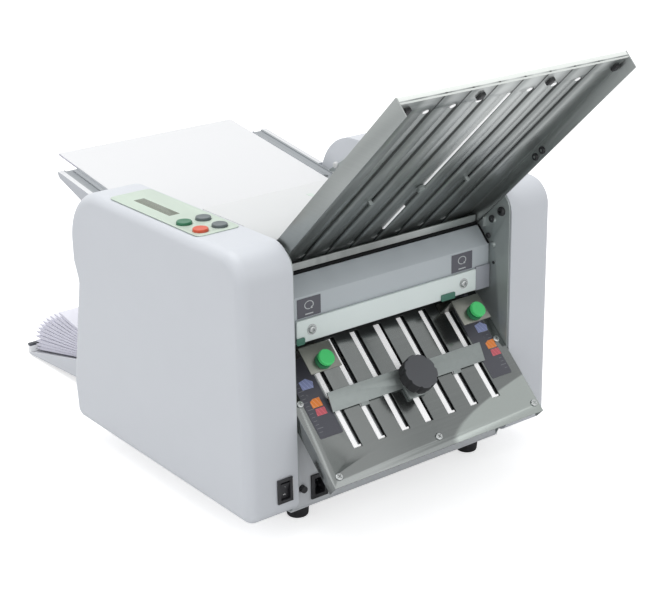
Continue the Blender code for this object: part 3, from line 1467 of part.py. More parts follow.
def inside():
    start = Vector((DELIVERY_GUIDE_START_Y, DELIVERY_GUIDE_START_Z))
    end = Vector((DELIVERY_GUIDE_END_Y, DELIVERY_GUIDE_END_Z))
    length = (end - start).length
    lean = atan2(end.y - start.y, end.x - start.x)
    guide = box(
        (-PLATE_HALF_WIDTH, 0, -DELIVERY_GUIDE_THICKNESS),
        (PLATE_HALF_WIDTH, length, 0),
    )
    make("delivery_guide", guide, steel, (0, *start), (lean, 0, 0))
    along = (FEED_ROLLER_Y - TABLE_FRONT_Y) / cos(TABLE_SLOPE)
    pad = box(
        (-PAD_WIDTH / 2, along - PAD_LENGTH / 2, -PAD_THICKNESS),
        (PAD_WIDTH / 2, along + PAD_LENGTH / 2, 0),
    )
    carrier = box(
        (-PLATE_HALF_WIDTH, along - PAD_LENGTH / 2, -2 * PAD_THICKNESS),
        (PLATE_HALF_WIDTH, along + PAD_LENGTH / 2, GAP - PAD_THICKNESS),
    )
    where = (0, TABLE_FRONT_Y, table_height(TABLE_FRONT_Y))
    make("separation_pad", pad, rubber, where, (TABLE_SLOPE, 0, 0), joins=[carrier])
    wide, deep, high = (size / 2 for size in SUPPLY_SIZE)
    supply = box(
        (SUPPLY_X - wide, SUPPLY_Y - deep, FLOOR_Z),
        (SUPPLY_X + wide, SUPPLY_Y + deep, FLOOR_Z + 2 * high),
    )
    lugs = box(
        (SUPPLY_X - wide - SUPPLY_LUG, SUPPLY_Y - SUPPLY_LUG, FLOOR_Z),
        (SUPPLY_X + wide + SUPPLY_LUG, SUPPLY_Y + SUPPLY_LUG, FLOOR_Z + BASE_THICKNESS),
    )
    make("power_supply", supply, dark_steel, joins=[lugs])
    main_board()


def main_board():
    level = -FRAME_OUTER_X - GAP - CHIP_HEIGHT
    half_y = MAIN_BOARD_LENGTH / 2
    half_z = MAIN_BOARD_HEIGHT / 2
    board = box(
        (level - BOARD_THICKNESS, MAIN_BOARD_Y - half_y, MAIN_BOARD_Z - half_z),
        (level, MAIN_BOARD_Y + half_y, MAIN_BOARD_Z + half_z),
    )
    joins = []
    for share_y, share_z, size_share in CHIP_SHARES:
        y = MAIN_BOARD_Y + share_y * MAIN_BOARD_LENGTH
        z = MAIN_BOARD_Z + share_z * MAIN_BOARD_HEIGHT
        half = size_share * MAIN_BOARD_HEIGHT / 2
        joins.append(box(
            (level - BOARD_THICKNESS - CHIP_HEIGHT, y - half, z - half),
            (level - BOARD_THICKNESS / 2, y + half, z + half),
        ))
    for side_y in (-1, 1):
        for side_z in (-1, 1):
            y = MAIN_BOARD_Y + side_y * (half_y - 2 * PILLAR_RADIUS)
            z = MAIN_BOARD_Z + side_z * (half_z - 2 * PILLAR_RADIUS)
            low = level - BOARD_THICKNESS / 2
            high = -FRAME_OUTER_X - GAP
            joins.append(rod(PILLAR_RADIUS, high - low, ((low + high) / 2, y, z), "X", segments=10))
    make("main_board", board, board_green, joins=[merged(joins)])


# Feed table

def table_height(y):
    return TABLE_FRONT_Z + (y - TABLE_FRONT_Y) * tan(TABLE_SLOPE)


def feed_table():
    """t runs up the table from its front edge, in a frame on its upper surface."""
    length = (TABLE_BACK_Y - TABLE_FRONT_Y) / cos(TABLE_SLOPE)
    where = (0, TABLE_FRONT_Y, table_height(TABLE_FRONT_Y))
    lean = (TABLE_SLOPE, 0, 0)
    sheet = box((-PLATE_HALF_WIDTH, 0, -TABLE_THICKNESS), (PLATE_HALF_WIDTH, length, 0))
    skirt_start = (TABLE_SKIRT_START_Y - TABLE_FRONT_Y) / cos(TABLE_SLOPE)
    profile = [
        (skirt_start, TABLE_RIM),
        (skirt_start, -TABLE_SKIRT),
        (length - TABLE_NOSE, -1.6 * TABLE_NOSE),
        (length - 0.2 * TABLE_NOSE, -TABLE_NOSE),
        (length + 0.4 * TABLE_NOSE, -0.2 * TABLE_NOSE),
        (length + 0.3 * TABLE_NOSE, TABLE_RIM / 2),
        (length - 0.2 * TABLE_NOSE, TABLE_RIM),
    ]
    rim_start = PLATE_HALF_WIDTH - RIM_THICKNESS
    rim_end = PLATE_HALF_WIDTH + TABLE_RIM_REACH
    joins = []
    for side in (-1, 1):
        joins.append(side_view(outline(profile, RIM_THICKNESS), side * (rim_end - RIM_THICKNESS / 2)))
        low_x, high_x = sorted((side * rim_start, side * (rim_end - RIM_THICKNESS / 2)))
        joins.append(box((low_x, skirt_start, -TABLE_THICKNESS), (high_x, length, TABLE_RIM)))
        low_x, high_x = sorted((side * rim_start, side * PLATE_HALF_WIDTH))
        joins.append(box((low_x, 0, -TABLE_THICKNESS / 2), (high_x, skirt_start + RIM_THICKNESS, TABLE_RIM)))
    make("feed_table", sheet, dark_paint, where, lean, joins=joins)
    fence_start = length - FENCE_BACK - FENCE_LENGTH
    for name, side in (("feed_guide_left", -1), ("feed_guide_right", 1)):
        inner = side * (PAPER_WIDTH / 2 + RUNNING_GAP)
        wall_x = sorted((inner, inner + side * FENCE_THICKNESS))
        foot_x = sorted((inner, inner + side * FENCE_FOOT))
        fence_end = fence_start + FENCE_LENGTH
        wall = box((wall_x[0], fence_start, GAP), (wall_x[1], fence_end, FENCE_HEIGHT))
        foot = box((foot_x[0], fence_start, GAP), (foot_x[1], fence_end, GAP + FENCE_THICKNESS))
        make(name, wall, steel, where, lean, joins=[foot])
    back = length + PAPER_BACK_OVERHANG
    stack = box(
        (-PAPER_WIDTH / 2, back - PAPER_LENGTH, GAP),
        (PAPER_WIDTH / 2, back, GAP + PAPER_THICKNESS),
    )
    make("paper_stack", stack, paper, where, lean)


# Delivery tray

def delivery_tray():
    start = TRAY_START_Y
    tip = TRAY_TIP_Y
    run = tip - start
    low = TRAY_TIP_Z + run * tan(TRAY_UNDER_SLOPE)
    high = TRAY_TIP_Z + TRAY_RIM + run * tan(TRAY_SLOPE)
    cheek = [
        (start, low),
        (tip, TRAY_TIP_Z),
        (tip, TRAY_TIP_Z + TRAY_TIP_RIM),
        (start, high),
    ]
    floor = [
        (start, high - TRAY_RIM - TRAY_WALL),
        (tip, TRAY_TIP_Z),
        (tip, TRAY_TIP_Z + TRAY_WALL),
        (start, high - TRAY_RIM),
    ]
    joins = []
    for side in (-1, 1):
        joins.append(side_view(outline(cheek, TRAY_WALL), side * (TRAY_HALF_WIDTH - TRAY_WALL / 2)))
        centre = side * TRAY_HOOK_SHARE * TRAY_HALF_WIDTH
        joins.append(box(
            (centre - TRAY_HOOK_WIDTH / 2, FRAME_DEPTH + GAP, high - TRAY_RIM - TRAY_HOOK_HEIGHT),
            (centre + TRAY_HOOK_WIDTH / 2, start + TRAY_HOOK_LENGTH, high - TRAY_RIM - TRAY_WALL / 2),
        ))
    joins.append(box(
        (-TRAY_HALF_WIDTH + GAP, tip - TRAY_WALL, TRAY_TIP_Z + GAP),
        (TRAY_HALF_WIDTH - GAP, tip + TRAY_STOP_THICKNESS, TRAY_TIP_Z + TRAY_STOP_HEIGHT),
    ))
    sheet = side_view(outline(floor, 2 * TRAY_HALF_WIDTH - TRAY_WALL), 0)
    make("delivery_tray", sheet, tray_grey, joins=joins)
    folded_sheets(run)


def tray_surface(share, run):
    """Height of the tray's upper face at a share of its length."""
    return TRAY_TIP_Z + (1 - share) * run * tan(TRAY_SLOPE) + share * TRAY_WALL


def folded_sheets(run):
    """The fan of folded sheets as one solid, its outline going in between one sheet's edge and the next."""
    start_z = tray_surface(FAN_START_SHARE, run) + GAP
    points = [(FAN_START_SHARE * run, start_z)]
    last = FAN_TIP_SHARES[-1][0]
    points.append((last * run, tray_surface(last, run) + GAP))
    for along, up in reversed(FAN_TIP_SHARES):
        tip = (along * run, TRAY_TIP_Z + up * FAN_HEIGHT)
        points.append(tip)
        points.append((tip[0] - FAN_NOTCH, tip[1] + FAN_SHEET))
    points[-1] = (tip[0] - FAN_NOTCH, tip[1] + FAN_SHEET / 3)
    points.append((FAN_START_SHARE * run, start_z + FAN_PACK))
    points = [(y + TRAY_START_Y, z) for y, z in points]
    make("folded_sheets", side_view(outline(points, PAPER_WIDTH), 0), paper)


clear_scene()
parts = collection(PARTS)
cutters = collection(CUTTERS)
machine = empty("machine_origin", (0, -CENTRE_Y, 0))

white_plastic = finish("white_plastic", (0.74, 0.75, 0.77), 0.45)
steel = finish("galvanised_steel", (0.45, 0.47, 0.46), 0.35, 0.8)
bright_steel = finish("bright_steel", (0.72, 0.73, 0.74), 0.25, 1.0)
dark_steel = finish("dark_steel", (0.12, 0.12, 0.13), 0.5, 0.3)
light_paint = finish("light_paint", (0.60, 0.62, 0.64), 0.5)
grey_paint = finish("grey_paint", (0.36, 0.38, 0.39), 0.5)
dark_paint = finish("dark_paint", (0.26, 0.27, 0.28), 0.5)
tray_grey = finish("tray_grey", (0.60, 0.61, 0.61), 0.5)
ivory = finish("ivory", (0.72, 0.76, 0.72), 0.5)
rubber = finish("rubber", (0.02, 0.02, 0.02), 0.8)
rubber_roller = finish("rubber_roller", (0.10, 0.10, 0.11), 0.7)
black_plastic = finish("black_plastic", (0.02, 0.02, 0.025), 0.4)
dark_plastic = finish("dark_plastic", (0.09, 0.09, 0.11), 0.5)
label_green = finish("label_green", (0.66, 0.76, 0.66), 0.5)
board_green = finish("board_green", (0.03, 0.16, 0.07), 0.5)
button_green = finish("button_green", (0.03, 0.50, 0.13), 0.4)
button_grey = finish("button_grey", (0.10, 0.12, 0.12), 0.4)
button_red = finish("button_red", (0.70, 0.10, 0.06), 0.4)
nylon = finish("nylon", (0.78, 0.76, 0.68), 0.5)
paper = finish("paper", (0.88, 0.88, 0.88), 0.8)

cover("left_cover", -1)
cover("right_cover", 1)
frame("side_frame_left", -1)
frame("side_frame_right", 1)
base()
tie_rod()
inlet()
power_switch()
control_panel()
lower_plate()
upper_plate()
front_cover()
top_cover()
rollers()
drive()
inside()
feed_table()
delivery_tray()
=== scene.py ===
import json
from math import atan2, cos, hypot, pi, radians, sin, tan

import bmesh
import bpy
from mathutils import Matrix, Vector

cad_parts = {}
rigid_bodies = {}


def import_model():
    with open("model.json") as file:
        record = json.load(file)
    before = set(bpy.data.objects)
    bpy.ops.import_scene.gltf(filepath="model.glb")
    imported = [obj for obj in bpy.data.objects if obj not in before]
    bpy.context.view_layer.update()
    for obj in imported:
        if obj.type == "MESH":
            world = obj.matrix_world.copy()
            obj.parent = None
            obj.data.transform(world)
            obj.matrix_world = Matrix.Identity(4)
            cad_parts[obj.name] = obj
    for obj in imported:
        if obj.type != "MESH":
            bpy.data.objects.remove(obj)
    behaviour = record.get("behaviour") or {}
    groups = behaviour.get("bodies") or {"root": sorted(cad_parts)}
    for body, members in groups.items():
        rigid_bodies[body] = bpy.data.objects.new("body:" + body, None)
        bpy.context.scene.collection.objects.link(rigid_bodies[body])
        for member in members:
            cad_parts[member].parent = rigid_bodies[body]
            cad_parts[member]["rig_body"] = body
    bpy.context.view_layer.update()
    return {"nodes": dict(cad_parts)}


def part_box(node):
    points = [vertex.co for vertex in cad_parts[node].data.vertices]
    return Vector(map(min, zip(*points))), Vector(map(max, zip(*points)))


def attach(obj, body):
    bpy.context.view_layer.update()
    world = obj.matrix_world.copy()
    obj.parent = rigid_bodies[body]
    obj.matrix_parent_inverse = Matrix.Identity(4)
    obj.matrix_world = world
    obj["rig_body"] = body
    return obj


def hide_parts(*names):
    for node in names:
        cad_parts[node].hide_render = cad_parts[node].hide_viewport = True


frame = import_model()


# Side covers. Two mirrored mouldings in pale lilac-grey plastic, open towards the steel frame except for
# the closed wall of the rear ear. All their corners are soft; the left one has holes for the panel's
# buttons, for its display and for the power switch.

class Wire:
    """A value on its way through a material. Plain arithmetic on it adds the Math nodes."""

    def __init__(self, finish, socket):
        self.finish = finish
        self.socket = socket

    def maths(self, operation, first, second=None):
        sockets = {0: first} if second is None else {0: first, 1: second}
        return self.finish.node("ShaderNodeMath", {"operation": operation}, sockets)

    def __add__(self, other):
        return self.maths("ADD", self, other)

    def __sub__(self, other):
        return self.maths("SUBTRACT", self, other)

    def __rsub__(self, other):
        return self.maths("SUBTRACT", other, self)

    def __mul__(self, other):
        return self.maths("MULTIPLY", self, other)

    def __truediv__(self, other):
        return self.maths("DIVIDE", self, other)

    def __mod__(self, other):
        return self.maths("FLOORED_MODULO", self, other)

    def __gt__(self, other):
        return self.maths("GREATER_THAN", self, other)

    def __lt__(self, other):
        return self.maths("LESS_THAN", self, other)

    def __abs__(self):
        return self.maths("ABSOLUTE", self)

    __radd__ = __add__
    __rmul__ = __mul__


class Finish:
    """A procedural material: one Principled shader and the nodes that feed it."""

    def __init__(self, name, colour, roughness, metallic=0.0):
        self.material = bpy.data.materials.new(name)
        self.material.use_nodes = True
        self.shader = self.material.node_tree.nodes["Principled BSDF"]
        self.where = self.node("ShaderNodeTexCoord", output="Object")
        self.give("Base Color", colour)
        self.give("Roughness", roughness)
        self.give("Metallic", metallic)

    def put(self, socket, value):
        if isinstance(value, Wire):
            self.material.node_tree.links.new(value.socket, socket)
        elif socket.type == "RGBA":
            socket.default_value = (*value, 1.0)
        else:
            socket.default_value = value

    def node(self, kind, settings=None, sockets=None, output=0):
        made = self.material.node_tree.nodes.new(kind)
        for setting, value in (settings or {}).items():
            setattr(made, setting, value)
        for socket, value in (sockets or {}).items():
            self.put(made.inputs[socket], value)
        return Wire(self, made.outputs[output])

    def give(self, socket, value):
        self.put(self.shader.inputs[socket], value)

    def mix(self, share, first, second):
        sockets = {0: share, 6: first, 7: second}
        return self.node("ShaderNodeMix", {"data_type": "RGBA"}, sockets, 2)

    def tint(self, share, first, second):
        """Gives the colour as a mix of two."""
        self.give("Base Color", self.mix(share, first, second))

    def noise(self, scale, detail=2.0, stretch=(1, 1, 1)):
        where = self.where
        if stretch != (1, 1, 1):
            where = self.node("ShaderNodeMapping", None, {"Vector": where, "Scale": stretch})
        return self.node("ShaderNodeTexNoise", None, {"Vector": where, "Scale": scale, "Detail": detail})

    def axes(self, centre=(0, 0, 0), turn=(0, 0, 0)):
        """The object's x, y and z, measured from a centre along turned axes."""
        sockets = {"Vector": self.where, "Location": centre, "Rotation": turn}
        local = self.node("ShaderNodeMapping", {"vector_type": "TEXTURE"}, sockets)
        split = self.node("ShaderNodeSeparateXYZ", None, {0: local})
        return [Wire(self, output) for output in split.socket.node.outputs]

    def rise(self, value, start, end):
        """0 up to the start, 1 from the end on, and a soft step between them."""
        sockets = {"Value": value, "From Min": start, "From Max": end}
        return self.node("ShaderNodeMapRange", {"interpolation_type": "SMOOTHSTEP"}, sockets)

    def bump(self, height, distance):
        self.give("Normal", self.node("ShaderNodeBump", None, {"Height": height, "Distance": distance}))


def shade(colour, factor):
    return tuple(min(1.0, channel * factor) for channel in colour)


def moulded(name, colour, roughness, grain=0.00004):
    """Moulded plastic: a fine spark-eroded grain, and a slight cloudiness in its colour and sheen."""
    plastic = Finish(name, colour, roughness)
    fine = plastic.noise(1500, 2.0)
    cloud = plastic.noise(14, 3.0)
    plastic.tint(cloud, shade(colour, 0.975), shade(colour, 1.02))
    plastic.give("Roughness", roughness - 0.05 + 0.06 * fine + 0.04 * cloud)
    plastic.bump(fine, grain)
    return plastic


def shape(piece, kind, test, operate=None, **settings):
    """One step by hand: selects the verts, edges or faces that pass the test, and works on them."""
    bpy.ops.object.select_all(action="DESELECT")
    piece.select_set(True)
    bpy.context.view_layer.objects.active = piece
    bpy.ops.object.mode_set(mode="EDIT")
    bpy.ops.mesh.select_mode(type={"verts": "VERT", "edges": "EDGE", "faces": "FACE"}[kind])
    bpy.ops.mesh.select_all(action="DESELECT")
    mesh = bmesh.from_edit_mesh(piece.data)
    for part in getattr(mesh, kind):
        part.select_set(bool(test(part)))
    bmesh.update_edit_mesh(piece.data)
    if operate:
        operate(**settings)
    bpy.ops.object.mode_set(mode="OBJECT")


def everything(part):
    return True


def rounded(piece, width, segments=2, test=everything, **settings):
    """Rounds the edges that pass the test, as tumbling or a mould's corner does."""
    settings.update(offset=width, segments=segments, profile=0.5, affect="EDGES")
    shape(piece, "edges", test, bpy.ops.mesh.bevel, **settings)


def modify(piece, kind, **settings):
    step = piece.modifiers.new("step", kind)
    for setting, value in settings.items():
        setattr(step, setting, value)
    bpy.context.view_layer.objects.active = piece
    bpy.ops.object.modifier_apply(modifier=step.name)


def smooth(piece, angle=35):
    bpy.ops.object.select_all(action="DESELECT")
    piece.select_set(True)
    bpy.context.view_layer.objects.active = piece
    bpy.ops.object.shade_smooth_by_angle(angle=radians(angle))


def started(name, add, **settings):
    """A primitive at its size and place, with both in its mesh."""
    bpy.ops.object.select_all(action="DESELECT")
    add(**settings)
    piece = bpy.context.object
    piece.name = name
    bpy.ops.object.transform_apply(location=True, rotation=True, scale=True)
    return piece


def block(name, low, high):
    low, high = Vector(low), Vector(high)
    size = high - low
    return started(name, bpy.ops.mesh.primitive_cube_add, size=1, location=(low + high) / 2, scale=size)


def disc(name, radius, low, high, x=0.0, y=0.0, vertices=48):
    """A short upright cylinder between two heights."""
    return started(
        name,
        bpy.ops.mesh.primitive_cylinder_add,
        vertices=vertices,
        radius=radius,
        depth=high - low,
        location=(x, y, (low + high) / 2),
    )


def copied(piece, name, place=Matrix()):
    made = bpy.data.objects.new(name, piece.data.copy())
    bpy.context.collection.objects.link(made)
    made.data.transform(place)
    if place.determinant() < 0:
        made.data.flip_normals()
    return made


def united(name, pieces):
    """Several pieces as one object."""
    bpy.ops.object.select_all(action="DESELECT")
    for piece in pieces:
        piece.select_set(True)
    bpy.context.view_layer.objects.active = pieces[0]
    bpy.ops.object.join()
    pieces[0].name = name
    return pieces[0]


def cut(piece, cutters):
    for cutter in cutters:
        modify(piece, "BOOLEAN", operation="DIFFERENCE", solver="EXACT", object=cutter)
        bpy.data.objects.remove(cutter)


def fit(piece, finish, slot, *nodes, body=None):
    """Gives a finished piece its material and body, and hides the solids it stands for. Its slot is not
    used.
    """
    if finish:
        piece.data.materials.clear()
        piece.data.materials.append(finish.material)
    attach(piece, body or frame["nodes"][nodes[0]]["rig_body"])
    if nodes:
        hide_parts(*nodes)
    return piece


cover_colour = (0.607, 0.629, 0.663)
cover_plastic = moulded("cover_plastic", cover_colour, 0.42)
cover_low, cover_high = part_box("right_cover")
front = cover_low.y
cover_depth = 0.418
cover_height = cover_high.z - cover_low.z
cover_edge = 0.014
# Each corner of the side outline: its share of the depth, its share of the height, its radius
cover_corners = (
    (0.0, 0.0, 0.015),
    (0.990, 0.004, 0.016),
    (1.0, 0.175, 0.036),
    (0.926, 0.612, 0.010),
    (0.950, 0.690, 0.016),
    (0.950, 1.0, 0.076),
    (0.0, 1.0, 0.036),
)


def cover_point(corner):
    return Vector((front + corner[0] * cover_depth, cover_low.z + corner[1] * cover_height))


def along_x_at(point):
    def test(edge):
        return all(abs(v.co.y - point.x) < 1e-5 and abs(v.co.z - point.y) < 1e-5 for v in edge.verts)
    return test


right_cover = block(
    "right_cover_moulding",
    (cover_low.x, front, cover_low.z),
    (cover_high.x - cover_edge, front + cover_depth, cover_high.z),
)
for _, share_z, _ in cover_corners[2:5]:
    level = cover_low.z + share_z * cover_height
    shape(right_cover, "faces", everything, bpy.ops.mesh.bisect, plane_co=(0, 0, level), plane_no=(0, 0, 1))
for share_y, share_z, _ in cover_corners[1:6]:
    level = cover_low.z + (0 if share_z < 0.1 else share_z) * cover_height
    lift = share_z * cover_height if share_z < 0.1 else 0
    shape(
        right_cover,
        "verts",
        lambda v: v.co.y > front + cover_depth - 1e-4 and abs(v.co.z - level) < 1e-4,
        bpy.ops.transform.translate,
        value=(0, (share_y - 1) * cover_depth, lift),
    )
shape(right_cover, "faces", everything, bpy.ops.mesh.dissolve_limited, angle_limit=radians(0.3))
for index, corner in enumerate(cover_corners):
    here = cover_point(corner)
    back = cover_point(cover_corners[index - 1]) - here
    ahead = cover_point(cover_corners[(index + 1) % len(cover_corners)]) - here
    reach = corner[2] * tan((pi - back.angle(ahead)) / 2)
    rounded(right_cover, reach, 20 if corner[2] > 0.05 else 10, along_x_at(here), clamp_overlap=False)
outer = cover_high.x - cover_edge
edge_steps = 7
for step in range(1, edge_steps + 1):
    before, after = pi / 2 * (step - 1) / edge_steps, pi / 2 * step / edge_steps
    shape(
        right_cover,
        "faces",
        lambda f: f.normal.x > 0.9 and f.calc_center_median().x > outer - 1e-5,
        bpy.ops.mesh.inset,
        thickness=cover_edge * (cos(before) - cos(after)),
        depth=cover_edge * (sin(after) - sin(before)),
        use_even_offset=True,
    )
    outer = cover_high.x - cover_edge * (1 - sin(after))
ear_y, ear_z = front + 0.300, 0.300
wall = 0.003


def inner_side(face):
    return face.normal.x < -0.9


def open_side(face):
    middle = face.calc_center_bounds()
    return inner_side(face) and (middle.y < ear_y or middle.z < ear_z)


for place, direction in (((0, ear_y, 0), (0, 1, 0)), ((0, 0, ear_z), (0, 0, 1))):
    shape(right_cover, "faces", inner_side, bpy.ops.mesh.bisect, plane_co=place, plane_no=direction)
shape(right_cover, "faces", open_side, bpy.ops.mesh.delete, type="FACE")
modify(right_cover, "SOLIDIFY", thickness=wall, offset=-1, use_even_offset=True, use_quality_normals=True)
left_cover = copied(right_cover, "left_cover_moulding", Matrix.Diagonal((-1, 1, 1, 1)))
button_places = {
    "button_stop": (-0.221, front + 0.1135),
    "button_minus": (-0.194, front + 0.1135),
    "button_start": (-0.221, front + 0.1485),
    "button_plus": (-0.194, front + 0.1485),
}
under_top, over_top = 0.360, 0.380
holes = [disc("hole", 0.010, under_top, over_top, x, y) for x, y in button_places.values()]
holes.append(block("hole", (-0.2193, front + 0.1837, under_top), (-0.2027, front + 0.2693, over_top)))
holes.append(block("hole", (-0.2018, front - 0.01, 0.0545), (-0.1842, front + 0.01, 0.0815)))
cut(left_cover, holes)
for cover in (left_cover, right_cover):
    smooth(cover)
fit(left_cover, cover_plastic, "white_plastic", "left_cover")
fit(right_cover, cover_plastic, "white_plastic", "right_cover")


# Side frames. Folded galvanised sheet, dull grey-green, with pressed bushes for the shafts and pan-head
# screws. Black button-head screws hold the upper plate's carrier: turned steel with a hexagon socket.

def eased(node, width=0.0003, segments=2):
    """A solid's own form with its flat faces whole again and its edges rounded."""
    piece = copied(frame["nodes"][node], node + "_eased")
    shape(piece, "verts", everything, bpy.ops.mesh.remove_doubles, threshold=0.000001)
    shape(piece, "faces", everything, bpy.ops.mesh.dissolve_limited, angle_limit=radians(0.5))
    modify(piece, "BEVEL", width=width, segments=segments, limit_method="ANGLE", angle_limit=radians(30))
    smooth(piece)
    return piece


def fit_eased(node, finish, slot, *easing):
    fit(eased(node, *easing), finish, slot, node)


def sheet_steel(name, colour, roughness, stretch=(6, 300, 300), metallic=0.85):
    """Zinc-coated sheet: rolling lines along one axis, pale and dark spangle, soft smears in its sheen."""
    steel = Finish(name, colour, roughness, metallic)
    lines = steel.noise(3, 3.0, stretch)
    spangle = steel.node("ShaderNodeTexVoronoi", None, {"Vector": steel.where, "Scale": 160})
    smear = steel.noise(11, 3.0)
    flake_colour = Wire(steel, spangle.socket.node.outputs["Color"])
    flake = steel.node("ShaderNodeSeparateColor", None, {0: flake_colour})
    tone = 0.45 * lines + 0.20 * flake + 0.35 * smear
    steel.tint(tone, shade(colour, 0.86), shade(colour, 1.12))
    steel.give("Roughness", roughness - 0.07 + 0.10 * smear + 0.05 * lines)
    steel.bump(lines, 0.00002)
    return steel


frame_steel = sheet_steel("frame_steel", (0.360, 0.396, 0.390), 0.42, (300, 300, 6), 0.6)
for hand in ("left", "right"):
    fit_eased(f"side_frame_{hand}", frame_steel, "galvanised_steel")

black_screw_finish = moulded("blackened_screw", (0.022, 0.023, 0.025), 0.38, 0.00002)


def above(level):
    return lambda edge: all(v.co.z > level for v in edge.verts)


def placed(where, angle, axis="X"):
    """Turned about an axis at the origin, then moved to its place."""
    return Matrix.Translation(where) @ Matrix.Rotation(angle, 4, axis)


def screw_head(name, radius, height, socket_vertices, socket_radius):
    """A low domed head standing on z = 0, with a socket or a cross recess in its top."""
    head = disc(name, radius, 0, height, vertices=32)
    rounded(head, height * 0.55, 4, above(height - 1e-6))
    if socket_vertices:
        cut(head, [disc("socket", socket_radius, height * 0.4, height * 2, vertices=socket_vertices)])
    else:
        arm = socket_radius
        cut(head, [
            block("cross", (-arm, -arm / 4, height * 0.45), (arm, arm / 4, height * 2)),
            block("cross", (-arm / 4, -arm, height * 0.45), (arm / 4, arm, height * 2)),
        ])
    smooth(head)
    return head


black_head = screw_head("black_head", 0.0052, 0.0036, 6, 0.0022)
frame_face = 0.1700
# Each screw's way back from the front, its height and its size
frame_screw_places = (
    (0.0156, 0.3366, 1.15),
    (0.0327, 0.3226, 0.95),
    (0.0395, 0.2985, 0.7),
    (0.0289, 0.2641, 0.4),
)
frame_screws = []
for side in (-1, 1):
    for y, z, size in frame_screw_places:
        place = placed((side * frame_face, front + y, z), -side * pi / 2, "Y")
        frame_screws.append(copied(black_head, "frame_screw", place @ Matrix.Scale(size, 4)))
fit(united("frame_screws", frame_screws), black_screw_finish, "black_knob", body="machine")


# Base. A painted steel plate under the whole body on four moulded rubber feet, each pressed on from below.
# The front and rear panels are bent up from painted sheet in the covers' colour.

painted_panel = moulded("painted_panel", (0.60, 0.62, 0.64), 0.46, 0.00003)
for node in ("base_plate", "front_panel", "rear_panel"):
    fit_eased(node, painted_panel, "light_paint", 0.0004)


def resized(piece, kind, test, share, centre=(0, 0, 0)):
    """Draws what passes the test in towards an upright axis, or out from it."""
    shape(piece, kind, test, bpy.ops.transform.resize, value=(share, share, 1), center_override=centre)


foot_rubber = moulded("foot_rubber", (0.018, 0.018, 0.020), 0.72, 0.0001)
for node in [f"rubber_foot_{end}_{hand}" for end in ("front", "back") for hand in ("left", "right")]:
    low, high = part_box(node)
    middle = (low + high) / 2
    foot = disc(node + "_moulding", (high.x - low.x) / 2, low.z, high.z, middle.x, middle.y)
    resized(foot, "verts", lambda v: v.co.z < low.z + 1e-5, 0.87, (middle.x, middle.y, low.z))
    for level, width in ((low.z, 0.0025), (high.z, 0.001)):
        rounded(foot, width, 4, lambda e: all(abs(v.co.z - level) < 1e-5 for v in e.verts))
    smooth(foot)
    fit(foot, foot_rubber, "rubber_foot", node)


# Mains inlet and circuit breaker. Black moulded parts clipped into the front panel; the socket has three
# pins, and the breaker's round reset button stands out beside it.

black_gloss = moulded("black_plastic_gloss", (0.020, 0.020, 0.023), 0.33, 0.00002)
for node in ("mains_inlet", "breaker_button"):
    fit_eased(node, black_gloss, "black_plastic", 0.0004, 3)


# Power switch. A black moulded rocker in a snap-in frame in the left cover's front, with white marks for on
# and off and a bright strip down the frame's inner side.

fit_eased("power_switch_frame", black_gloss, "black_plastic", 0.0004, 3)
fit_eased("power_switch_rocker", black_gloss, "black_plastic", 0.0006, 3)
mark_white = moulded("mark_white", (0.80, 0.80, 0.80), 0.5)
rocker_low, rocker_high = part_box("power_switch_rocker")
rocker_x = (rocker_low.x + rocker_high.x) / 2
rocker_turn = placed((rocker_x, front + 0.00275, 0.068), radians(9))
# Each half of the rocker's face slopes away from its middle
face_slope = radians(15.5)


def soft_block(name, low, high, width, segments=2, test=everything):
    """A block with the edges rounded that pass the test."""
    piece = block(name, low, high)
    rounded(piece, width, segments, test)
    return piece


stroke = soft_block("on_mark", (-0.0005, -0.0041, 0.0042), (0.0005, -0.0036, 0.0088), 0.0001)
up_slope = rocker_turn @ Matrix.Rotation(-face_slope, 4, "X")
stroke.data.transform(up_slope @ Matrix.Translation((0, -0.0004, 0)))
ring = started(
    "off_mark",
    bpy.ops.mesh.primitive_torus_add,
    major_radius=0.0021,
    minor_radius=0.0004,
    major_segments=32,
    minor_segments=8,
    location=(0, -0.0041, -0.0062),
    rotation=(pi / 2, 0, 0),
)
ring.data.transform(rocker_turn @ Matrix.Rotation(face_slope, 4, "X") @ Matrix.Translation((0, -0.0002, 0)))
smooth(ring, 60)
fit(united("rocker_marks", [stroke, ring]), mark_white, "white_plastic", body="power_rocker")
trim_steel = sheet_steel("trim_steel", (0.62, 0.63, 0.64), 0.28, (300, 300, 6), 1.0)
low, high = (-0.1826, front - 0.0031, 0.0535), (-0.1812, front - 0.0002, 0.0825)
trim = soft_block("switch_trim", low, high, 0.0003)
smooth(trim)
fit(trim, trim_steel, "bright_steel", body="machine")


# Control panel. A printed pale green film on the left cover with a display behind its clear window and four
# round push buttons: red stops, green starts, and the two slate ones count down and up.

film_green = (0.520, 0.605, 0.522)
film = moulded("panel_film", film_green, 0.38, 0.00001)
x, y, _ = film.axes((-0.2055, front + 0.198, 0.370))
window_x, window_y = x + 0.0055, y - 0.0285
in_window = (abs(window_x) < 0.0075) * (abs(window_y) < 0.0415)
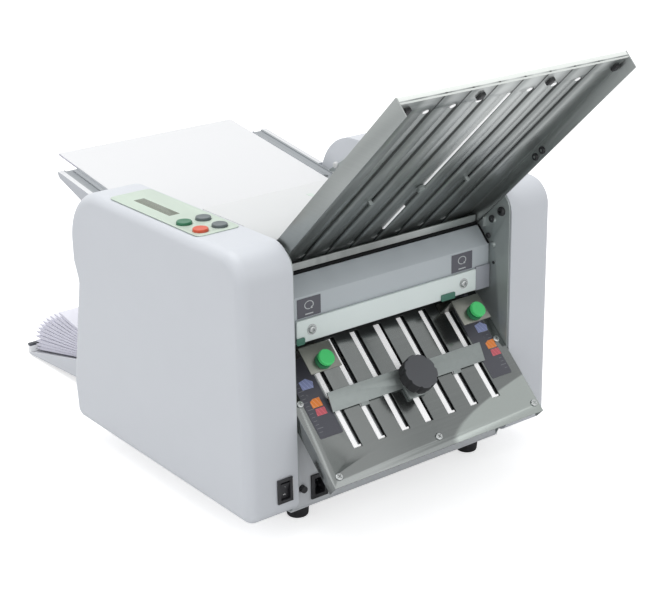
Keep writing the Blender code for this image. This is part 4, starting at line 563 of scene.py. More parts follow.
# The display's two rows of cells, 5 mm apart along each row, with an unreadable pattern in them
cell = abs(window_y / 0.0050 % 1 - 0.5) < 0.36
row = (abs(abs(window_x) - 0.0033) < 0.0024) * cell * (abs(window_y) < 0.038)
glyph = film.node("ShaderNodeTexVoronoi", None, {"Vector": film.where, "Scale": 900}) < 0.42
lcd = film.mix(row * glyph, (0.140, 0.165, 0.120), (0.072, 0.086, 0.062))
border = (abs(abs(x) - 0.0283) < 0.0003) * (abs(y) < 0.100)
cloud = film.noise(40, 2.0)
ground = film.mix(cloud, shade(film_green, 0.97), shade(film_green, 1.03))
ground = film.mix(0.14 * border, ground, (0.22, 0.36, 0.26))
film.tint(in_window, ground, lcd)
film.give("Roughness", 0.40 - 0.22 * in_window + 0.05 * cloud)
fit_eased("control_panel_label", film, "label_green", 0.00015)

button_colours = {
    "button_stop": (0.62, 0.085, 0.035),
    "button_minus": (0.105, 0.130, 0.135),
    "button_start": (0.020, 0.155, 0.075),
    "button_plus": (0.105, 0.130, 0.135),
}
button_slots = {"button_stop": "button_red", "button_start": "button_green"}
button_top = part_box("button_stop")[1].z
cap_height = 0.0105
button = disc("push_button", 0.0095, button_top - cap_height, button_top, vertices=64)
rounded(button, 0.0011, 5, above(button_top - 1e-5))
shape(
    button,
    "faces",
    lambda f: f.normal.z > 0.99 and f.calc_area() > 1e-4,
    bpy.ops.mesh.inset,
    thickness=0.0022,
    depth=-0.00025,
)
shape(button, "faces", lambda f: f.normal.z < -0.99, bpy.ops.mesh.inset, thickness=0.0055, depth=0)


def drawn_out(piece, test, step):
    """Pulls the faces that pass the test out by a step, with new sides behind them."""
    shape(piece, "faces", test, bpy.ops.mesh.extrude_region_move, TRANSFORM_OT_translate={"value": step})


stem_length = button_top - cap_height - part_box("button_stop")[0].z
drawn_out(button, lambda f: f.normal.z < -0.99 and f.calc_area() < 1e-4, (0, 0, -stem_length))
smooth(button)
for node, (x, y) in button_places.items():
    cap = copied(button, node + "_cap", Matrix.Translation((x, y, 0)))
    finish = moulded(node + "_plastic", button_colours[node], 0.36, 0.00002)
    fit(cap, finish, button_slots.get(node, "button_grey"), node)
bpy.data.objects.remove(button)


# Front cover. Grey painted sheet bent back along its top, with two slate instruction labels, an ivory bar
# held by two socket screws, slate end blocks beside the bar and two green stop tabs under it.

grey_paint = moulded("grey_paint", (0.490, 0.532, 0.556), 0.44, 0.00003)
fit_eased("front_cover", grey_paint, "grey_paint", 0.0005)
ends = []
inner_half = 0.1692  # half the width of what lies between the side frames
for side in (-1, 1):
    low_x, high_x = sorted((side * 0.1452, side * inner_half))
    low, high = (low_x, front + 0.0352, 0.2295), (high_x, front + 0.0377, 0.2615)
    ends.append(soft_block("bar_end", low, high, 0.0005))


def joined(name, pieces, place=Matrix()):
    """Several pieces as one object, set in its place and smooth-shaded."""
    made = united(name, pieces)
    made.data.transform(place)
    smooth(made)
    return made


end_grey = moulded("end_block_plastic", (0.330, 0.345, 0.380), 0.45)
fit(joined("bar_end_blocks", ends), end_grey, "grey_paint", body="machine")
ivory = moulded("ivory_plastic", (0.770, 0.845, 0.825), 0.40, 0.00003)
fit_eased("front_bar", ivory, "ivory_bar", 0.0012, 3)

bright_screw = sheet_steel("bright_screw", (0.50, 0.52, 0.52), 0.26, (200, 200, 200), 1.0)
bar_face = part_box("front_bar")[0].y
socket_head = screw_head("socket_head", 0.0050, 0.0033, 6, 0.0026)
washer = disc("washer", 0.0068, 0.0, 0.0007)
for node, x in (("bar_screw_left", -0.122), ("bar_screw_right", 0.122)):
    place = placed((x, bar_face, 0.2455), pi / 2)
    screw = joined(node + "_head", [copied(socket_head, "head", place), copied(washer, "washer", place)])
    fit(screw, bright_screw, "bright_steel", node)

tab_green = moulded("tab_green", (0.065, 0.190, 0.140), 0.40)


def running(axis):
    """Picks the edges that run along x, y or z: 0, 1 or 2."""
    return lambda edge: abs(edge.verts[0].co[axis] - edge.verts[1].co[axis]) > 1e-4


tabs = []
for low_x, high_x in ((-0.1455, -0.1335), (0.0835, 0.1065)):
    low, high = (low_x, bar_face - 0.0018, 0.2300), (high_x, bar_face - 0.0001, 0.2385)
    tabs.append(soft_block("stop_tab", low, high, 0.0015, 4, running(1)))
fit(joined("green_tabs", tabs), tab_green, "button_green", body="machine")

# A label's own plane: x across the face, y up it, z out of it
label_slate = moulded("label_slate", (0.100, 0.100, 0.120), 0.40, 0.00001)
label_white = moulded("label_print", (0.52, 0.54, 0.55), 0.5, 0.00001)
plate = block("label", (-0.0175, -0.0120, 0.0), (0.0175, 0.0120, 0.0003))
loop_middle = (0, 0.0025, 0.0003)
loop = started(
    "loop",
    bpy.ops.mesh.primitive_torus_add,
    major_radius=0.0058,
    minor_radius=0.0006,
    major_segments=36,
    minor_segments=6,
    location=loop_middle,
)
flatter = {"value": (1.1, 0.85, 0.3), "center_override": loop_middle}
shape(loop, "verts", everything, bpy.ops.transform.resize, **flatter)


def at_gap(face):
    """The part of the loop that its arrow head stands in."""
    middle = face.calc_center_median()
    return abs(atan2(middle.y - loop_middle[1], middle.x) + 0.9) < 0.35


shape(loop, "faces", at_gap, bpy.ops.mesh.delete, type="FACE")
arrow = disc("arrow", 0.0021, 0.0003, 0.0005, 0.0036, -0.0014, vertices=3)
line = block("line", (-0.0060, -0.0092, 0.0003), (0.0060, -0.0078, 0.0005))
for side in (-1, 1):
    tilt = placed((side * 0.1225, front + 0.0377, 0.2735), pi / 2)
    fit(copied(plate, f"label_{side + 1}", tilt), label_slate, "black_plastic", body="machine")
    art = united(f"label_print_{side + 1}", [copied(part, "art", tilt) for part in (loop, arrow, line)])
    smooth(art, 60)
    fit(art, label_white, "white_plastic", body="machine")
for part in (plate, loop, arrow, line, socket_head, washer, black_head):
    bpy.data.objects.remove(part)


# Plate support. A bright ground steel strip across the frames that carries the upper plate's foot, black
# along its lower edge down to the front cover, and a bent steel catch at its right end.

support = eased("plate_support", 0.0002)
support_steel = sheet_steel("support_steel", (0.60, 0.63, 0.62), 0.30, (6, 300, 300), 0.8)
# Painted reflection: the strip is painted dim and streaked at its left end and bright towards its right end
along, _, _ = support_steel.axes()
streaks = support_steel.noise(90, 2.0, (1, 0.02, 0.02))
painted_dim_end = support_steel.mix(streaks, (0.150, 0.160, 0.157), (0.310, 0.328, 0.322))
support_steel.tint(support_steel.rise(along, -0.04, 0.15), painted_dim_end, (0.560, 0.590, 0.580))
seal_rubber = moulded("seal_rubber", (0.006, 0.006, 0.007), 0.7)
seal_rubber.give("Specular IOR Level", 0.12)
fit(support, support_steel, "bright_steel", "plate_support")
support.data.materials.append(seal_rubber.material)
black_strip_top = 0.3140
for face in support.data.polygons:
    face.material_index = int(face.center.z < black_strip_top)
catch = united("support_catch", [
    block("catch", (0.1662, front + 0.0455, 0.3095), (0.1712, front + 0.0463, 0.3225)),
    block("catch", (0.1702, front + 0.0463, 0.3095), (0.1712, front + 0.0530, 0.3225)),
])
fit(catch, support_steel, "bright_steel", body="machine")
# A black strip beside the front cover's slanted upper face stands for the shadow line there: painted shadow
facet = placed((0, front + 0.0380, 0.2880), atan2(0.021, 0.020))
cover_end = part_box("front_cover")[1].x
shadow_strip = block("cover_foam", (cover_end - 0.0022, 0.0004, -0.0004), (cover_end + 0.0002, 0.0288, 0.0007))
shadow_strip.data.transform(facet)
fit(shadow_strip, seal_rubber, "belt_rubber", body="machine")


# Lower fold plate. Two slotted zinc-coated sheets in one folded edge, screwed to the carrier, with white
# nylon runners in the slots and a printed slate scale strip down each side.

lower_tilt = radians(43.7)
lower = placed((0, front - 0.069, 0.089), lower_tilt)
plate_steel = sheet_steel("lower_plate_steel", (0.30, 0.32, 0.315), 0.18, (4, 260, 260), 0.9)
px, ps, _ = plate_steel.axes(lower.translation, (lower_tilt, 0, 0))
# Painted reflection: a pale patch with a curved edge at the plate's lower right stands for light the
# polished sheet reflects
sheen = plate_steel.rise(px - 0.020 - 50.0 * ps * ps, -0.006, 0.008)
grain = plate_steel.noise(3, 3.0, (4, 260, 260))
dull = plate_steel.mix(grain, (0.160, 0.171, 0.169), (0.210, 0.224, 0.221))
# Painted light: the left part of the sheet is painted lighter
dull = plate_steel.mix(0.5 * plate_steel.rise(0 - px, 0.010, 0.110), dull, (0.290, 0.305, 0.300))
plate_steel.tint(0.75 * sheen, dull, (0.430, 0.470, 0.450))
fit_eased("lower_plate", plate_steel, "galvanised_steel")

slot_pitch = 0.0375
glowing_runner_white = moulded("runner_nylon", (0.95, 0.95, 0.95), 0.45)
# Painted light: the runners glow with a faint emission so that they read white in the shade of the slots
glowing_runner_white.give("Emission Color", (0.24, 0.24, 0.24))
glowing_runner_white.give("Emission Strength", 1.0)
slot_places = [(index - 3) * slot_pitch for index in range(7)]
toe_end = 0.0412
runners = []
for index, x in enumerate(slot_places):
    # The stop's tongues pass slots 1 and 5, so those runners leave them room
    wide = {1: 0.0003, 3: 0.0028, 5: 0.0003}.get(index, 0.0009)
    runner = block("runner", (x - 0.0062, 0.0388, -0.0035), (x + wide, 0.1790, -0.0004))
    if index != 3:
        cut_line = {"plane_co": (0, toe_end, 0), "plane_no": (0, 1, 0)}
        shape(runner, "faces", everything, bpy.ops.mesh.bisect, **cut_line)
        drawn_out(runner, lambda f: f.normal.x > 0.9 and f.calc_center_median().y < toe_end, (0.0040, 0, 0))
    rounded(runner, 0.0003, test=above(-0.0005))
    runners.append(runner)
fit(joined("slot_runners", runners, lower), glowing_runner_white, "white_plastic", body="lower_plate")

scale_slate = moulded("scale_slate", (0.075, 0.078, 0.095), 0.36, 0.00001)
sx, sy, _ = scale_slate.axes(lower.translation, (lower_tilt, 0, 0))
# Marks every 5 mm and longer ones every 25 mm, with specks where the figures stand
tick = ((sy % 0.005) < 0.0006) * (abs(abs(sx) - 0.1505) < 0.0025) * (sy > 0.068)
long_tick = ((sy % 0.025) < 0.0008) * (abs(abs(sx) - 0.149) < 0.0045) * (sy > 0.068)
digits = scale_slate.node("ShaderNodeTexVoronoi", None, {"Vector": scale_slate.where, "Scale": 1100}) < 0.36
figures = digits * (abs(abs(sx) - 0.1435) < 0.0014) * (abs(sy % 0.0125 - 0.006) < 0.0012) * (sy > 0.100)
printed = scale_slate.rise(tick + long_tick + 0.8 * figures, 0.3, 0.9)
scale_slate.tint(printed, (0.078, 0.080, 0.098), (0.20, 0.205, 0.23))
strips = []
for side in (-1, 1):
    low_x, high_x = sorted((side * 0.1215, side * 0.1555))
    strips.append(soft_block("strip", (low_x, 0.062, 0.0001), (high_x, 0.186, 0.0004), 0.002, 4, running(2)))
scale_strips = united("scale_strips", strips)
scale_strips.data.transform(lower)
fit(scale_strips, scale_slate, "black_plastic", body="lower_plate")

# Printed fold signs: a blue parallel fold, an orange and a red-pink cross fold, on both strips. For each its
# colour, that of its fold lines, its distance up the plate and its corners.
signs = {
    "sign_blue": (
        (0.300, 0.345, 0.590),
        (0.660, 0.759, 1.0),
        0.1325,
        ((-0.0088, -0.0064), (0.0072, -0.0068), (0.0100, 0.001), (0.002, 0.0070), (-0.0090, 0.0046)),
    ),
    "sign_orange": (
        (0.930, 0.270, 0.045),
        (0.95, 0.62, 0.40),
        0.1065,
        ((-0.0075, -0.0055), (0.0075, -0.0055), (0.0075, 0.006), (-0.002, 0.006), (-0.0075, 0.003)),
    ),
    "sign_pink": (
        (0.640, 0.120, 0.150),
        (1.0, 0.264, 0.330),
        0.0945,
        ((-0.0070, -0.0045), (0.0080, -0.0045), (0.0080, 0.0048), (-0.0055, 0.0048)),
    ),
}


def polygon(name, corners, radius):
    """A flat disc of so many corners, to be moved and drawn out."""
    settings = {"vertices": corners, "radius": radius, "fill_type": "NGON"}
    return started(name, bpy.ops.mesh.primitive_circle_add, **settings)


def face_outwards(piece):
    shape(piece, "faces", everything, bpy.ops.mesh.normals_make_consistent, inside=False)


for name, (colour, line_colour, up_plate, corners) in signs.items():
    ink = moulded(name + "_ink", colour, 0.42, 0.00001)
    wx, wy, _ = ink.axes(lower.translation, (lower_tilt, 0, 0))
    fold_line = (abs((wx + 0.4 * wy) % 0.0052 - 0.0026) < 0.00035)
    ink.tint(0.5 * fold_line, colour, line_colour)
    pair = []
    for side in (-1, 1):
        sign = polygon("sign", len(corners), 0.01)
        for vertex, (x, y) in zip(sign.data.vertices, corners):
            vertex.co = (side * 0.1425 + 0.0050 + x, up_plate + y, 0.0004)
        drawn_out(sign, everything, (0, 0, 0.0001))
        face_outwards(sign)
        pair.append(sign)
    both = united(name, pair)
    both.data.transform(lower)
    fit(both, ink, "button_red", body="lower_plate")

plate_half, plate_length = 0.1695, 0.222
plate_screw = screw_head("plate_screw", 0.0048, 0.0024, 0, 0.0028)
plate_screws = []
for share_x, share_s in ((-0.93, 0.055), (0.0, 0.070), (0.95, 0.060), (0.94, 0.500), (-0.94, 0.500)):
    place = placed((share_x * plate_half, share_s * plate_length, 0.0002), share_s * 9, "Z")
    plate_screws.append(copied(plate_screw, "plate_screw", lower @ place))
fit(united("lower_plate_screws", plate_screws), bright_screw, "bright_steel", body="lower_plate")


# Lower fold stop. A dull zinc-plated bar with two tabs, held off the plate by a sliding block and clamped by
# a large charcoal knob with a scalloped grip and a flat top.

stop_steel = sheet_steel("stop_steel", (0.290, 0.320, 0.313), 0.44, (6, 200, 200), 0.6)
fit_eased("lower_fold_stop", stop_steel, "galvanised_steel")


def two_tone(piece, local, finishes, choose):
    """Gives each face the finish that its middle and its normal, in the piece's own plane, call for."""
    piece.data.materials.clear()
    for finish in finishes:
        piece.data.materials.append(finish.material)
    back = local.inverted()
    for face in piece.data.polygons:
        face.material_index = choose(back @ face.center, back.to_3x3() @ face.normal)


def at_angle(angle):
    return lambda vertex: abs((atan2(vertex.co.y, vertex.co.x) - angle + pi) % (2 * pi) - pi) < 0.005


knob_plastic = moulded("knob_plastic", (0.085, 0.089, 0.098), 0.50, 0.00006)
# Painted shade: the knob's side gets a near-black copy of its plastic
knob_side = moulded("knob_side", (0.018, 0.019, 0.021), 0.58, 0.00006)
knob_radius, knob_height, knob_lift = 0.0232, 0.0165, 0.017
grooves, points = 9, 144
knob = polygon("knob", points, knob_radius)
for groove in range(grooves):
    for offset, size in ((-2, 0.975), (-1, 0.942), (0, 0.930), (1, 0.942), (2, 0.975)):
        angle = 2 * pi * (groove * points // grooves + offset) / points
        resized(knob, "verts", at_angle(angle), size)
drawn_out(knob, everything, (0, 0, knob_height))
face_outwards(knob)
rounded(knob, 0.0009, 3, above(knob_height - 1e-6), clamp_overlap=False)


def knob_top(face):
    return face.calc_area() > 1e-3 and face.normal.z > 0.99


shape(knob, "faces", knob_top, bpy.ops.mesh.inset, thickness=0.0012, depth=0)
cut(knob, [disc("bore", 0.0033, -0.01, 0.0063, vertices=24)])
smooth(knob, 40)


def fit_stop_knob(plate, place):
    """Sets the grip on its stop's screw: its side is painted darker than its top, as painted shade."""
    grip = copied(knob, f"{plate}_stop_grip", place)
    two_tone(grip, place, (knob_side, knob_plastic), lambda middle, normal: int(normal.z > 0.5))
    fit(grip, None, "black_knob", f"{plate}_stop_knob")


fit_stop_knob("lower", lower @ Matrix.Translation((0, 0.0923, knob_lift)))


# Clamps. Two bright zinc-plated brackets bent from strip, each with a small bright green knob on its shelf;
# the knobs are moulded, with a finely ribbed side and a flat top.

bracket_steel = sheet_steel("bracket_steel", (0.235, 0.240, 0.215), 0.30, (200, 6, 200), 0.9)
for hand in ("left", "right"):
    fit_eased(f"clamp_bracket_{hand}", bracket_steel, "bright_steel", 0.0004)
clamp_green = moulded("clamp_green", (0.070, 0.660, 0.185), 0.42)
# Painted shade: the skirt under each knob's cap gets a darker copy of its green
clamp_skirt = moulded("clamp_skirt", (0.030, 0.210, 0.090), 0.5)
ribs = 96
clamp = polygon("clamp", ribs, 0.0105)
resized(clamp, "verts", lambda v: round(atan2(v.co.y, v.co.x) / (2 * pi / ribs)) % 3 == 0, 0.972)
level = 0.0


def cap_face(face):
    at_level = abs(face.calc_center_median().z - level) < 1e-5
    return at_level and face.calc_area() > 2e-4 and abs(face.normal.z) > 0.99


for reach, spread in ((0.0055, 0.800), (0.0025, 1.250), (0.0050, 1.0)):
    drawn_out(clamp, cap_face, (0, 0, reach))
    level += reach
    if spread != 1.0:
        drawn_out(clamp, cap_face, (0, 0, 0))
        resized(clamp, "faces", cap_face, spread, (0, 0, level))
face_outwards(clamp)
shape(clamp, "faces", lambda f: f.normal.z > 0.99 and f.calc_center_median().z > level - 1e-5,
      bpy.ops.mesh.inset, thickness=0.0010, depth=0)
shape(clamp, "verts", lambda v: v.co.z > level - 1e-5 and hypot(v.co.x, v.co.y) > 0.01000,
      bpy.ops.transform.translate, value=(0, 0, -0.0010))
smooth(clamp, 40)
for hand, x in (("left", -0.122), ("right", 0.122)):
    place = lower @ Matrix.Translation((x, 0.1436, 0.031))
    grip = copied(clamp, f"clamp_grip_{hand}", place)
    two_tone(grip, place, (clamp_skirt, clamp_green), lambda middle, normal: int(middle.z > 0.0081))
    fit(grip, None, "button_green", f"clamp_knob_{hand}")
bpy.data.objects.remove(clamp)


# Upper fold plate. Two slotted sheets with folded sides, leaning back over the machine; its top edge is a
# pale folded lip, black plastic clips hold it, and the fold stop slides on its hidden side.

upper_tilt = radians(44)
upper_length = 0.384
upper_foot = Vector((0, front + 0.0922, 0.3013))
upper_top = upper_foot + upper_length * Vector((0, -cos(upper_tilt), sin(upper_tilt)))
upper = placed(upper_top, -upper_tilt)
upper_steel = sheet_steel("upper_plate_steel", (0.42, 0.45, 0.44), 0.30, (260, 4, 260), 0.8)
ux, us, _ = upper_steel.axes(upper_top, (-upper_tilt, 0, 0))
# Across the plate, each pitch from slot to slot has one broad and one narrow band of painted reflected
# light; the bands also shape its bump
band = (ux + 0.1050) % slot_pitch / slot_pitch
foot = upper_steel.rise(us, 0.13, 0.21)
broad = upper_steel.rise(band, 0.12, 0.40) * (1 - upper_steel.rise(band, 0.45, 0.98))
narrow = upper_steel.rise(band, 0.05, 0.16) * (1 - upper_steel.rise(band, 0.20, 0.36))
# A dark line beside each slot: painted shadow of the slot's edge, also pressed in a little by the bump
groove = upper_steel.rise(abs(band - 0.5), 0.440, 0.480) * (1 - upper_steel.rise(abs(ux), 0.128, 0.130))
lines = upper_steel.noise(3, 3.0, (260, 4, 260))
# A painted highlight near the top middle, and painted shade further down the plate
painted_highlight = (1 - upper_steel.rise(us, 0.06, 0.19)) * (1 - upper_steel.rise(abs(ux - 0.008), 0.03, 0.10))
painted_shade_low = upper_steel.rise(us, 0.22, 0.29)
reflection_bands = broad * (1 - foot) + 0.6 * narrow * foot
sheet = upper_steel.mix(0.8 * reflection_bands + 0.2 * lines, (0.232, 0.253, 0.248), (0.512, 0.537, 0.527))
sheet = upper_steel.mix(0.70 * painted_highlight * (0.5 + 0.5 * broad), sheet, (0.740, 0.770, 0.755))
sheet = upper_steel.mix(0.30 * painted_shade_low, sheet, (0.110, 0.120, 0.120))
upper_steel.tint(0.85 * groove, sheet, (0.020, 0.022, 0.022))
upper_steel.bump(reflection_bands - 0.6 * groove + 0.02 * lines, 0.0010)

lip_finish = moulded("lip_paint", (0.860, 0.895, 0.855), 0.4)
lip = soft_block("top_lip", (-inner_half, 0.0002, -0.0012), (inner_half, 0.0030, 0.0071), 0.0008, 3)
lip.data.transform(upper)
smooth(lip)
fit(lip, lip_finish, "ivory_bar", body="upper_plate")

clip_plastic = moulded("clip_plastic", (0.022, 0.022, 0.024), 0.45)
clip_places = [share * inner_half for share in (-0.88, -0.27, 0.34, 0.95)]


def upper_tone(middle, normal):
    at_clip = any(abs(middle.x - x) < 0.0038 for x in clip_places)
    return int(at_clip and 0.0140 < middle.y < 0.0240 and middle.z < -0.0004)


upper_plate = eased("upper_plate")
two_tone(upper_plate, upper, (upper_steel, clip_plastic), upper_tone)
fit(upper_plate, None, "galvanised_steel", "upper_plate")
clips = []
for x in clip_places:
    low, high = (x - 0.0036, 0.0143, -0.0043), (x + 0.0036, 0.0237, -0.0002)
    clips.append(soft_block("clip", low, high, 0.0014, 4, lambda e: all(v.co.z < -0.004 for v in e.verts)))
fit(joined("plate_clips", clips, upper), clip_plastic, "black_plastic", body="upper_plate")

side_heads = []
black_head = screw_head("black_head", 0.0048, 0.0026, 6, 0.0020)
for share in (0.49, 0.53):
    place = upper @ placed((0.1680, share * upper_length, -0.008), -pi / 2, "Y")
    side_heads.append(copied(black_head, "side_head", place))
fit(united("upper_flange_screws", side_heads), black_screw_finish, "black_knob", body="upper_plate")

lengths = []
for start, end in ((0.0300, 0.2230), (0.2735, 0.3285)):
    lengths.append(soft_block("slit", (0.0035, start, -0.0006), (0.0064, end, 0.0012), 0.0003))
fit(joined("centre_runner", lengths, upper), glowing_runner_white, "white_plastic", body="upper_plate")
liners = []
ends = []
for index, x in enumerate(slot_places):
    wide = 0.0032 if index == 3 else 0.0034
    liners.append(soft_block("liner", (x - 0.0064, 0.0290, 0.0005), (x + wide, 0.3490, 0.0013), 0.0002))
    if index != 3:
        low, high = (x - 0.0045, 0.0292, -0.0002), (x + 0.0025, 0.0350, 0.0012)
        ends.append(soft_block("slot_end", low, high, 0.0024, 5, running(2)))
fit(joined("slot_liners", liners, upper), upper_steel, "galvanised_steel", body="upper_plate")
fit(joined("slot_ends", ends, upper), glowing_runner_white, "white_plastic", body="upper_plate")

fit_eased("upper_fold_stop", stop_steel, "galvanised_steel")
fit_stop_knob("upper", upper @ Matrix.Translation((0, 0.226, 0.007 + knob_lift)))
for part in (knob, plate_screw, black_head):
    bpy.data.objects.remove(part)


# Top cover. A pale plastic lid between the side covers, hinged at its back edge on two cheeks, with a small
# pale green label on its flat.

lid_plastic = moulded("lid_plastic", (0.640, 0.650, 0.650), 0.40)
fit_eased("top_cover", lid_plastic, "white_plastic", 0.0008, 3)
lid_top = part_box("top_cover")[1].z
low, high = (-0.0375, front + 0.129, lid_top - 0.0001), (-0.0295, front + 0.153, lid_top + 0.0002)
lid_label = soft_block("lid_label", low, high, 0.0012, 3, running(2))
lid_film = moulded("lid_label_film", (0.570, 0.650, 0.590), 0.4, 0.00001)
fit(lid_label, lid_film, "label_green", body="top_cover")


# Ear stud. A white moulded button with a domed rim, pressed into the closed inner wall of the right cover's
# ear, over a pale moulded block.

ear_wall = 0.1721
stud_height = 0.0042
stud = disc("stud", 0.0052, 0, stud_height)
rounded(stud, 0.0024, 6, above(stud_height - 1e-4))
stud.data.transform(placed((ear_wall, front + 0.359, 0.3235), -pi / 2, "Y"))
smooth(stud)
fit(stud, lid_plastic, "white_plastic", body="machine")
low, high = (0.1690, front + 0.349, 0.3015), (ear_wall, front + 0.379, 0.3125)
ear_block = soft_block("ear_block", low, high, 0.0015, 4)
smooth(ear_block)
fit(ear_block, lid_plastic, "white_plastic", body="machine")


# Feed table. Sheet painted dark inside, with folded side rims left pale on top and light grey outside. The
# two low painted guides lie beside the stack of large sheets, whose edges show as fine lilac lines.

table_slope = radians(9.5)
table = placed((0, front + 0.230, 0.2875), table_slope)
dark_paint, pale_paint = (0.300, 0.320, 0.335), (0.70, 0.71, 0.72)
table_dark = moulded("table_dark", dark_paint, 0.45)
table_pale = moulded("table_pale", pale_paint, 0.42)
table_rim = moulded("table_rim", pale_paint, 0.42)
rim_x, _, _ = table_rim.axes()
table_rim.tint(table_rim.rise(abs(rim_x), 0.1702, 0.1708), dark_paint, pale_paint)
table_grey = moulded("table_grey", (0.50, 0.52, 0.55), 0.45)


def table_tone(middle, normal):
    if abs(middle.x) > 0.1668 and normal.z > 0.5 and middle.z > 0.0005:
        return 1
    if abs(middle.x) > 0.1695 or normal.z < -0.5 or normal.y > 0.5:
        return 2
    return 0


feed_table = eased("feed_table", 0.0004)
two_tone(feed_table, table, (table_dark, table_rim, table_grey), table_tone)
fit(feed_table, None, "table_paint", "feed_table")
for hand in ("left", "right"):
    # Painted light: the guides' side faces get the lighter grey to soften their shade
    guide = eased(f"feed_guide_{hand}")
    two_tone(guide, table, (table_dark, table_grey), lambda middle, normal: int(abs(normal.x) > 0.5))
    fit(guide, None, "galvanised_steel", f"feed_guide_{hand}")



def matt_paper(name, faint, strong):
    """Uncoated paper: matt, with a fibre in its colour and its surface."""
    paper = Finish(name, faint, 0.75)
    fibre = paper.noise(900, 4.0)
    paper.tint(fibre, faint, strong)
    paper.bump(fibre, 0.00002)
    return paper


sheet_paper = matt_paper("sheet_paper", (0.710, 0.714, 0.722), (0.730, 0.734, 0.738))
edge_paper = Finish("edge_paper", (0.66, 0.65, 0.76), 0.8)
edges = edge_paper.noise(30, 3.0, (1, 1, 220))
edge_paper.tint(edges, (0.60, 0.58, 0.74), (0.76, 0.75, 0.84))
table_run = 0.310 / cos(table_slope)
stack_end = table_run + 0.053
sheet_half, sheet_length = 0.1480, 0.4195
sheet_pitch, sheet_thickness = 0.00025, 0.00021
sheets = []
for index in range(12):
    drift = Vector((0.0004 * sin(index * 2.3), 0.0005 * cos(index * 1.7), 0.0003 + index * sheet_pitch))
    low = Vector((-sheet_half, stack_end - sheet_length, 0)) + drift
    high = Vector((sheet_half, stack_end - 0.0006, sheet_thickness)) + drift
    sheets.append(block("sheet", low, high))
paper_stack = united("paper_sheets", sheets)
paper_stack.data.transform(table)
two_tone(paper_stack, table, (sheet_paper, edge_paper), lambda middle, normal: int(abs(normal.z) < 0.5))
fit(paper_stack, None, "paper", "paper_stack")


# Delivery tray. One folded sheet with pale rims and light grey outer cheeks, hooked into the rear panel; its
# pale end stop has a dark top edge. A dozen folded sheets lie in it, each slipped back from the one above.

tray_inside = moulded("tray_inside", (0.560, 0.570, 0.600), 0.45)
tray_cheek = moulded("tray_cheek", (0.575, 0.595, 0.630), 0.45)
tray_stop = moulded("tray_stop", (0.105, 0.110, 0.125), 0.5)
_, _, stop_z = tray_stop.axes()
tray_stop.tint(tray_stop.rise(stop_z, 0.0160, 0.0167), (0.860, 0.870, 0.880), (0.075, 0.080, 0.092))


def tray_tone(middle, normal):
    if middle.y > front + 0.7165 and middle.z > 0.0085:
        return 3
    if abs(middle.x) > 0.1558 and normal.z > 0.6:
        return 1
    if abs(middle.x) > 0.1572 or normal.z < -0.5:
        return 2
    return 0


tray = eased("delivery_tray")
two_tone(tray, Matrix(), (tray_inside, table_pale, tray_cheek, tray_stop), tray_tone)
fit(tray, None, "tray_plastic", "delivery_tray")

# Where the leaves' tips lie, from the top leaf down: shares of the tray's run and of the fan's height
fan_tips = (
    (0.725, 0.56),
    (0.814, 0.48),
    (0.890, 0.39),
    (0.946, 0.30),
    (0.985, 0.21),
    (0.990, 0.12),
    (0.990, 0.055),
)
tray_start, tray_run, fan_height = front + 0.404, 0.317, 0.165
fan_start = tray_start + 0.21 * tray_run
leaf_count, leaf_width, leaf_thickness = 12, 0.2955, 0.001
leaves = []
for index in range(leaf_count):
    place = index / (leaf_count - 1) * (len(fan_tips) - 1)
    first = min(int(place), len(fan_tips) - 2)
    along, up = Vector(fan_tips[first]).lerp(Vector(fan_tips[first + 1]), place - first)
    below = leaf_count - 1 - index
    tip = Vector((tray_start + along * tray_run - 0.0006, 0.003 + up * fan_height))
    start = Vector((fan_start, 0.0640 + 0.00125 * below))
    hollow = 0.0004 * below
    leaf = started("leaf", bpy.ops.mesh.primitive_grid_add, x_subdivisions=2, y_subdivisions=24, size=1)
    modify(leaf, "SOLIDIFY", thickness=leaf_thickness, offset=0)
    for vertex in leaf.data.vertices:
        x, t, side = vertex.co.x, vertex.co.y + 0.5, vertex.co.z / (leaf_thickness / 2)
        here = start.lerp(tip, t)
        puff = (0.0005 + 0.0021 * t ** 1.3) * min(1.0, (1.02 - t) / 0.10) ** 0.7
        vertex.co = (x * leaf_width, here.x, here.y - hollow * sin(pi * t) + side * puff)
    leaves.append(leaf)
folded = united("folded_leaves", leaves)
smooth(folded, 60)
fold_paper = matt_paper("fold_paper", (0.850, 0.845, 0.925), (0.880, 0.880, 0.940))
# Painted shade: the leaves' side faces get a darker copy of the paper
fold_edge = moulded("fold_edge", (0.655, 0.648, 0.735), 0.8, 0.00002)
two_tone(folded, Matrix(), (fold_paper, fold_edge), lambda middle, normal: int(abs(normal.x) > 0.5))
fit(folded, None, "folded_paper", "folded_sheets")


# Inside. Rubber-covered rollers on ground shafts with nylon gears, a belt drive from the motor, bent guides,
# boards and a power supply: shown as their solids, each with its own finish.

def dress(finish, *nodes):
    for node in nodes:
        solid = frame["nodes"][node]
        solid.data.materials.clear()
        solid.data.materials.append(finish.material)


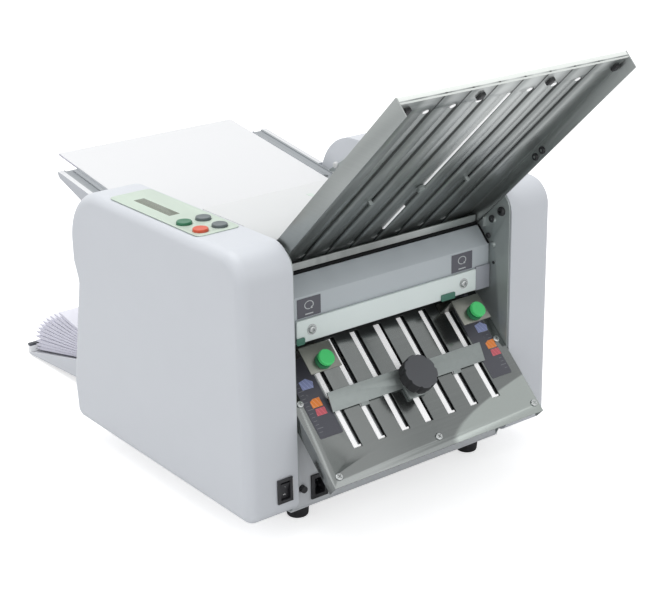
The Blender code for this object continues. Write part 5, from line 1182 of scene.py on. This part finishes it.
roller_rubber = moulded("roller_rubber", (0.085, 0.085, 0.095), 0.66, 0.0001)
dress(roller_rubber, "fold_roller_centre", "fold_roller_top", "fold_roller_front", "fold_roller_back",
      "feed_roller", "delivery_roller", "delivery_wheels")
dress(moulded("gear_nylon", (0.74, 0.72, 0.62), 0.45), "gear_idler", "drive_pulley")
dress(moulded("belt_rubber", (0.028, 0.028, 0.030), 0.65, 0.0001), "drive_belt", "separation_pad")
dress(sheet_steel("shaft_steel", (0.55, 0.56, 0.57), 0.25, (4, 300, 300), 1.0), "tie_rod", "motor_shaft")
dress(sheet_steel("guide_sheet", (0.33, 0.35, 0.345), 0.35, (4, 300, 300), 0.8), "delivery_guide")
dress(moulded("motor_paint", (0.075, 0.078, 0.085), 0.45, 0.00005), "motor", "power_supply")
board_green = moulded("board_green", (0.025, 0.150, 0.060), 0.35, 0.00002)
tracks = board_green.noise(220, 1.0, (1, 6, 1))
board_green.tint(board_green.rise(tracks, 0.48, 0.52), (0.018, 0.120, 0.050), (0.035, 0.190, 0.080))
dress(board_green, "control_board", "main_board")


# Stage. A plain pale floor and a surround that the camera and mirrors see as white, with one large soft lamp
# over the machine, one at its side and one in front.

floor = started("floor", bpy.ops.mesh.primitive_plane_add, size=12, location=(0, 0, 0))
floor_paint = Finish("floor_paint", (0.82, 0.82, 0.82), 0.9)
from_camera = floor_paint.node("ShaderNodeLightPath", output="Is Camera Ray")
floor_paint.give("Emission Color", floor_paint.mix(from_camera, (0.0, 0.0, 0.0), (0.62, 0.62, 0.62)))
floor_paint.give("Emission Strength", 1.0)
floor_paint.give("Specular IOR Level", 0.0)
floor.data.materials.append(floor_paint.material)

world = bpy.context.scene.world or bpy.data.worlds.new("surround")
bpy.context.scene.world = world
world.use_nodes = True
sky = world.node_tree
sky.nodes.clear()


def sky_node(kind, *sources, operation=None, **values):
    """A node of the surround: the sources feed its first inputs in turn, the values set others by name."""
    made = sky.nodes.new(kind)
    if operation:
        made.operation = operation
    for socket, source in zip(made.inputs, sources):
        sky.links.new(source, socket)
    for socket, value in values.items():
        made.inputs[socket].default_value = value
    return made.outputs


rays = sky_node("ShaderNodeLightPath")
seen, mirrored, through = rays["Is Camera Ray"], rays["Is Glossy Ray"], rays["Is Transmission Ray"]
shown = sky_node("ShaderNodeMath", seen, mirrored, operation="MAXIMUM")
shown = sky_node("ShaderNodeMath", shown[0], through, operation="MAXIMUM")
around = sky_node("ShaderNodeBackground", Color=(0.97, 0.98, 1.0, 1.0), Strength=0.62)
white = sky_node("ShaderNodeBackground", Color=(1.0, 1.0, 1.0, 1.0), Strength=1.0)
blend = sky_node("ShaderNodeMixShader", shown[0], around[0], white[0])
sky_node("ShaderNodeOutputWorld", blend[0])


def lamp(name, place, aim, size, power):
    light = bpy.data.lights.new(name, "AREA")
    light.shape = "SQUARE"
    light.size = size
    light.energy = power
    made = bpy.data.objects.new(name, light)
    bpy.context.collection.objects.link(made)
    made.location = place
    made.rotation_euler = (Vector(aim) - Vector(place)).to_track_quat("-Z", "Y").to_euler()


lamp("overhead_lamp", (-0.3, 0.4, 2.6), (0, 0, 0.3), 2.2, 42)
lamp("side_lamp", (-2.4, -0.6, 1.3), (0, 0, 0.25), 1.6, 8)
lamp("front_lamp", (0.5, -2.6, 1.1), (0, 0, 0.2), 1.8, 9)

camera = bpy.data.cameras.new("camera")
camera.sensor_fit = "HORIZONTAL"
camera.sensor_width = 36.0
# The focal length was found in pixels, in a picture 660 pixels wide
camera.lens = 1571.28 / 660 * camera.sensor_width
viewer = bpy.data.objects.new("camera", camera)
bpy.context.collection.objects.link(viewer)
viewer.matrix_world = (
    Matrix.Translation((-1.1624, front - 1.36102, 0.9433))
    @ Matrix.Rotation(radians(-37.4616), 4, "Z")
    @ Matrix.Rotation(radians(90 - 20.6152), 4, "X")
    @ Matrix.Rotation(radians(-1.0539), 4, "Z")
)
bpy.context.scene.camera = viewer
bpy.context.scene.view_settings.view_transform = "Standard"
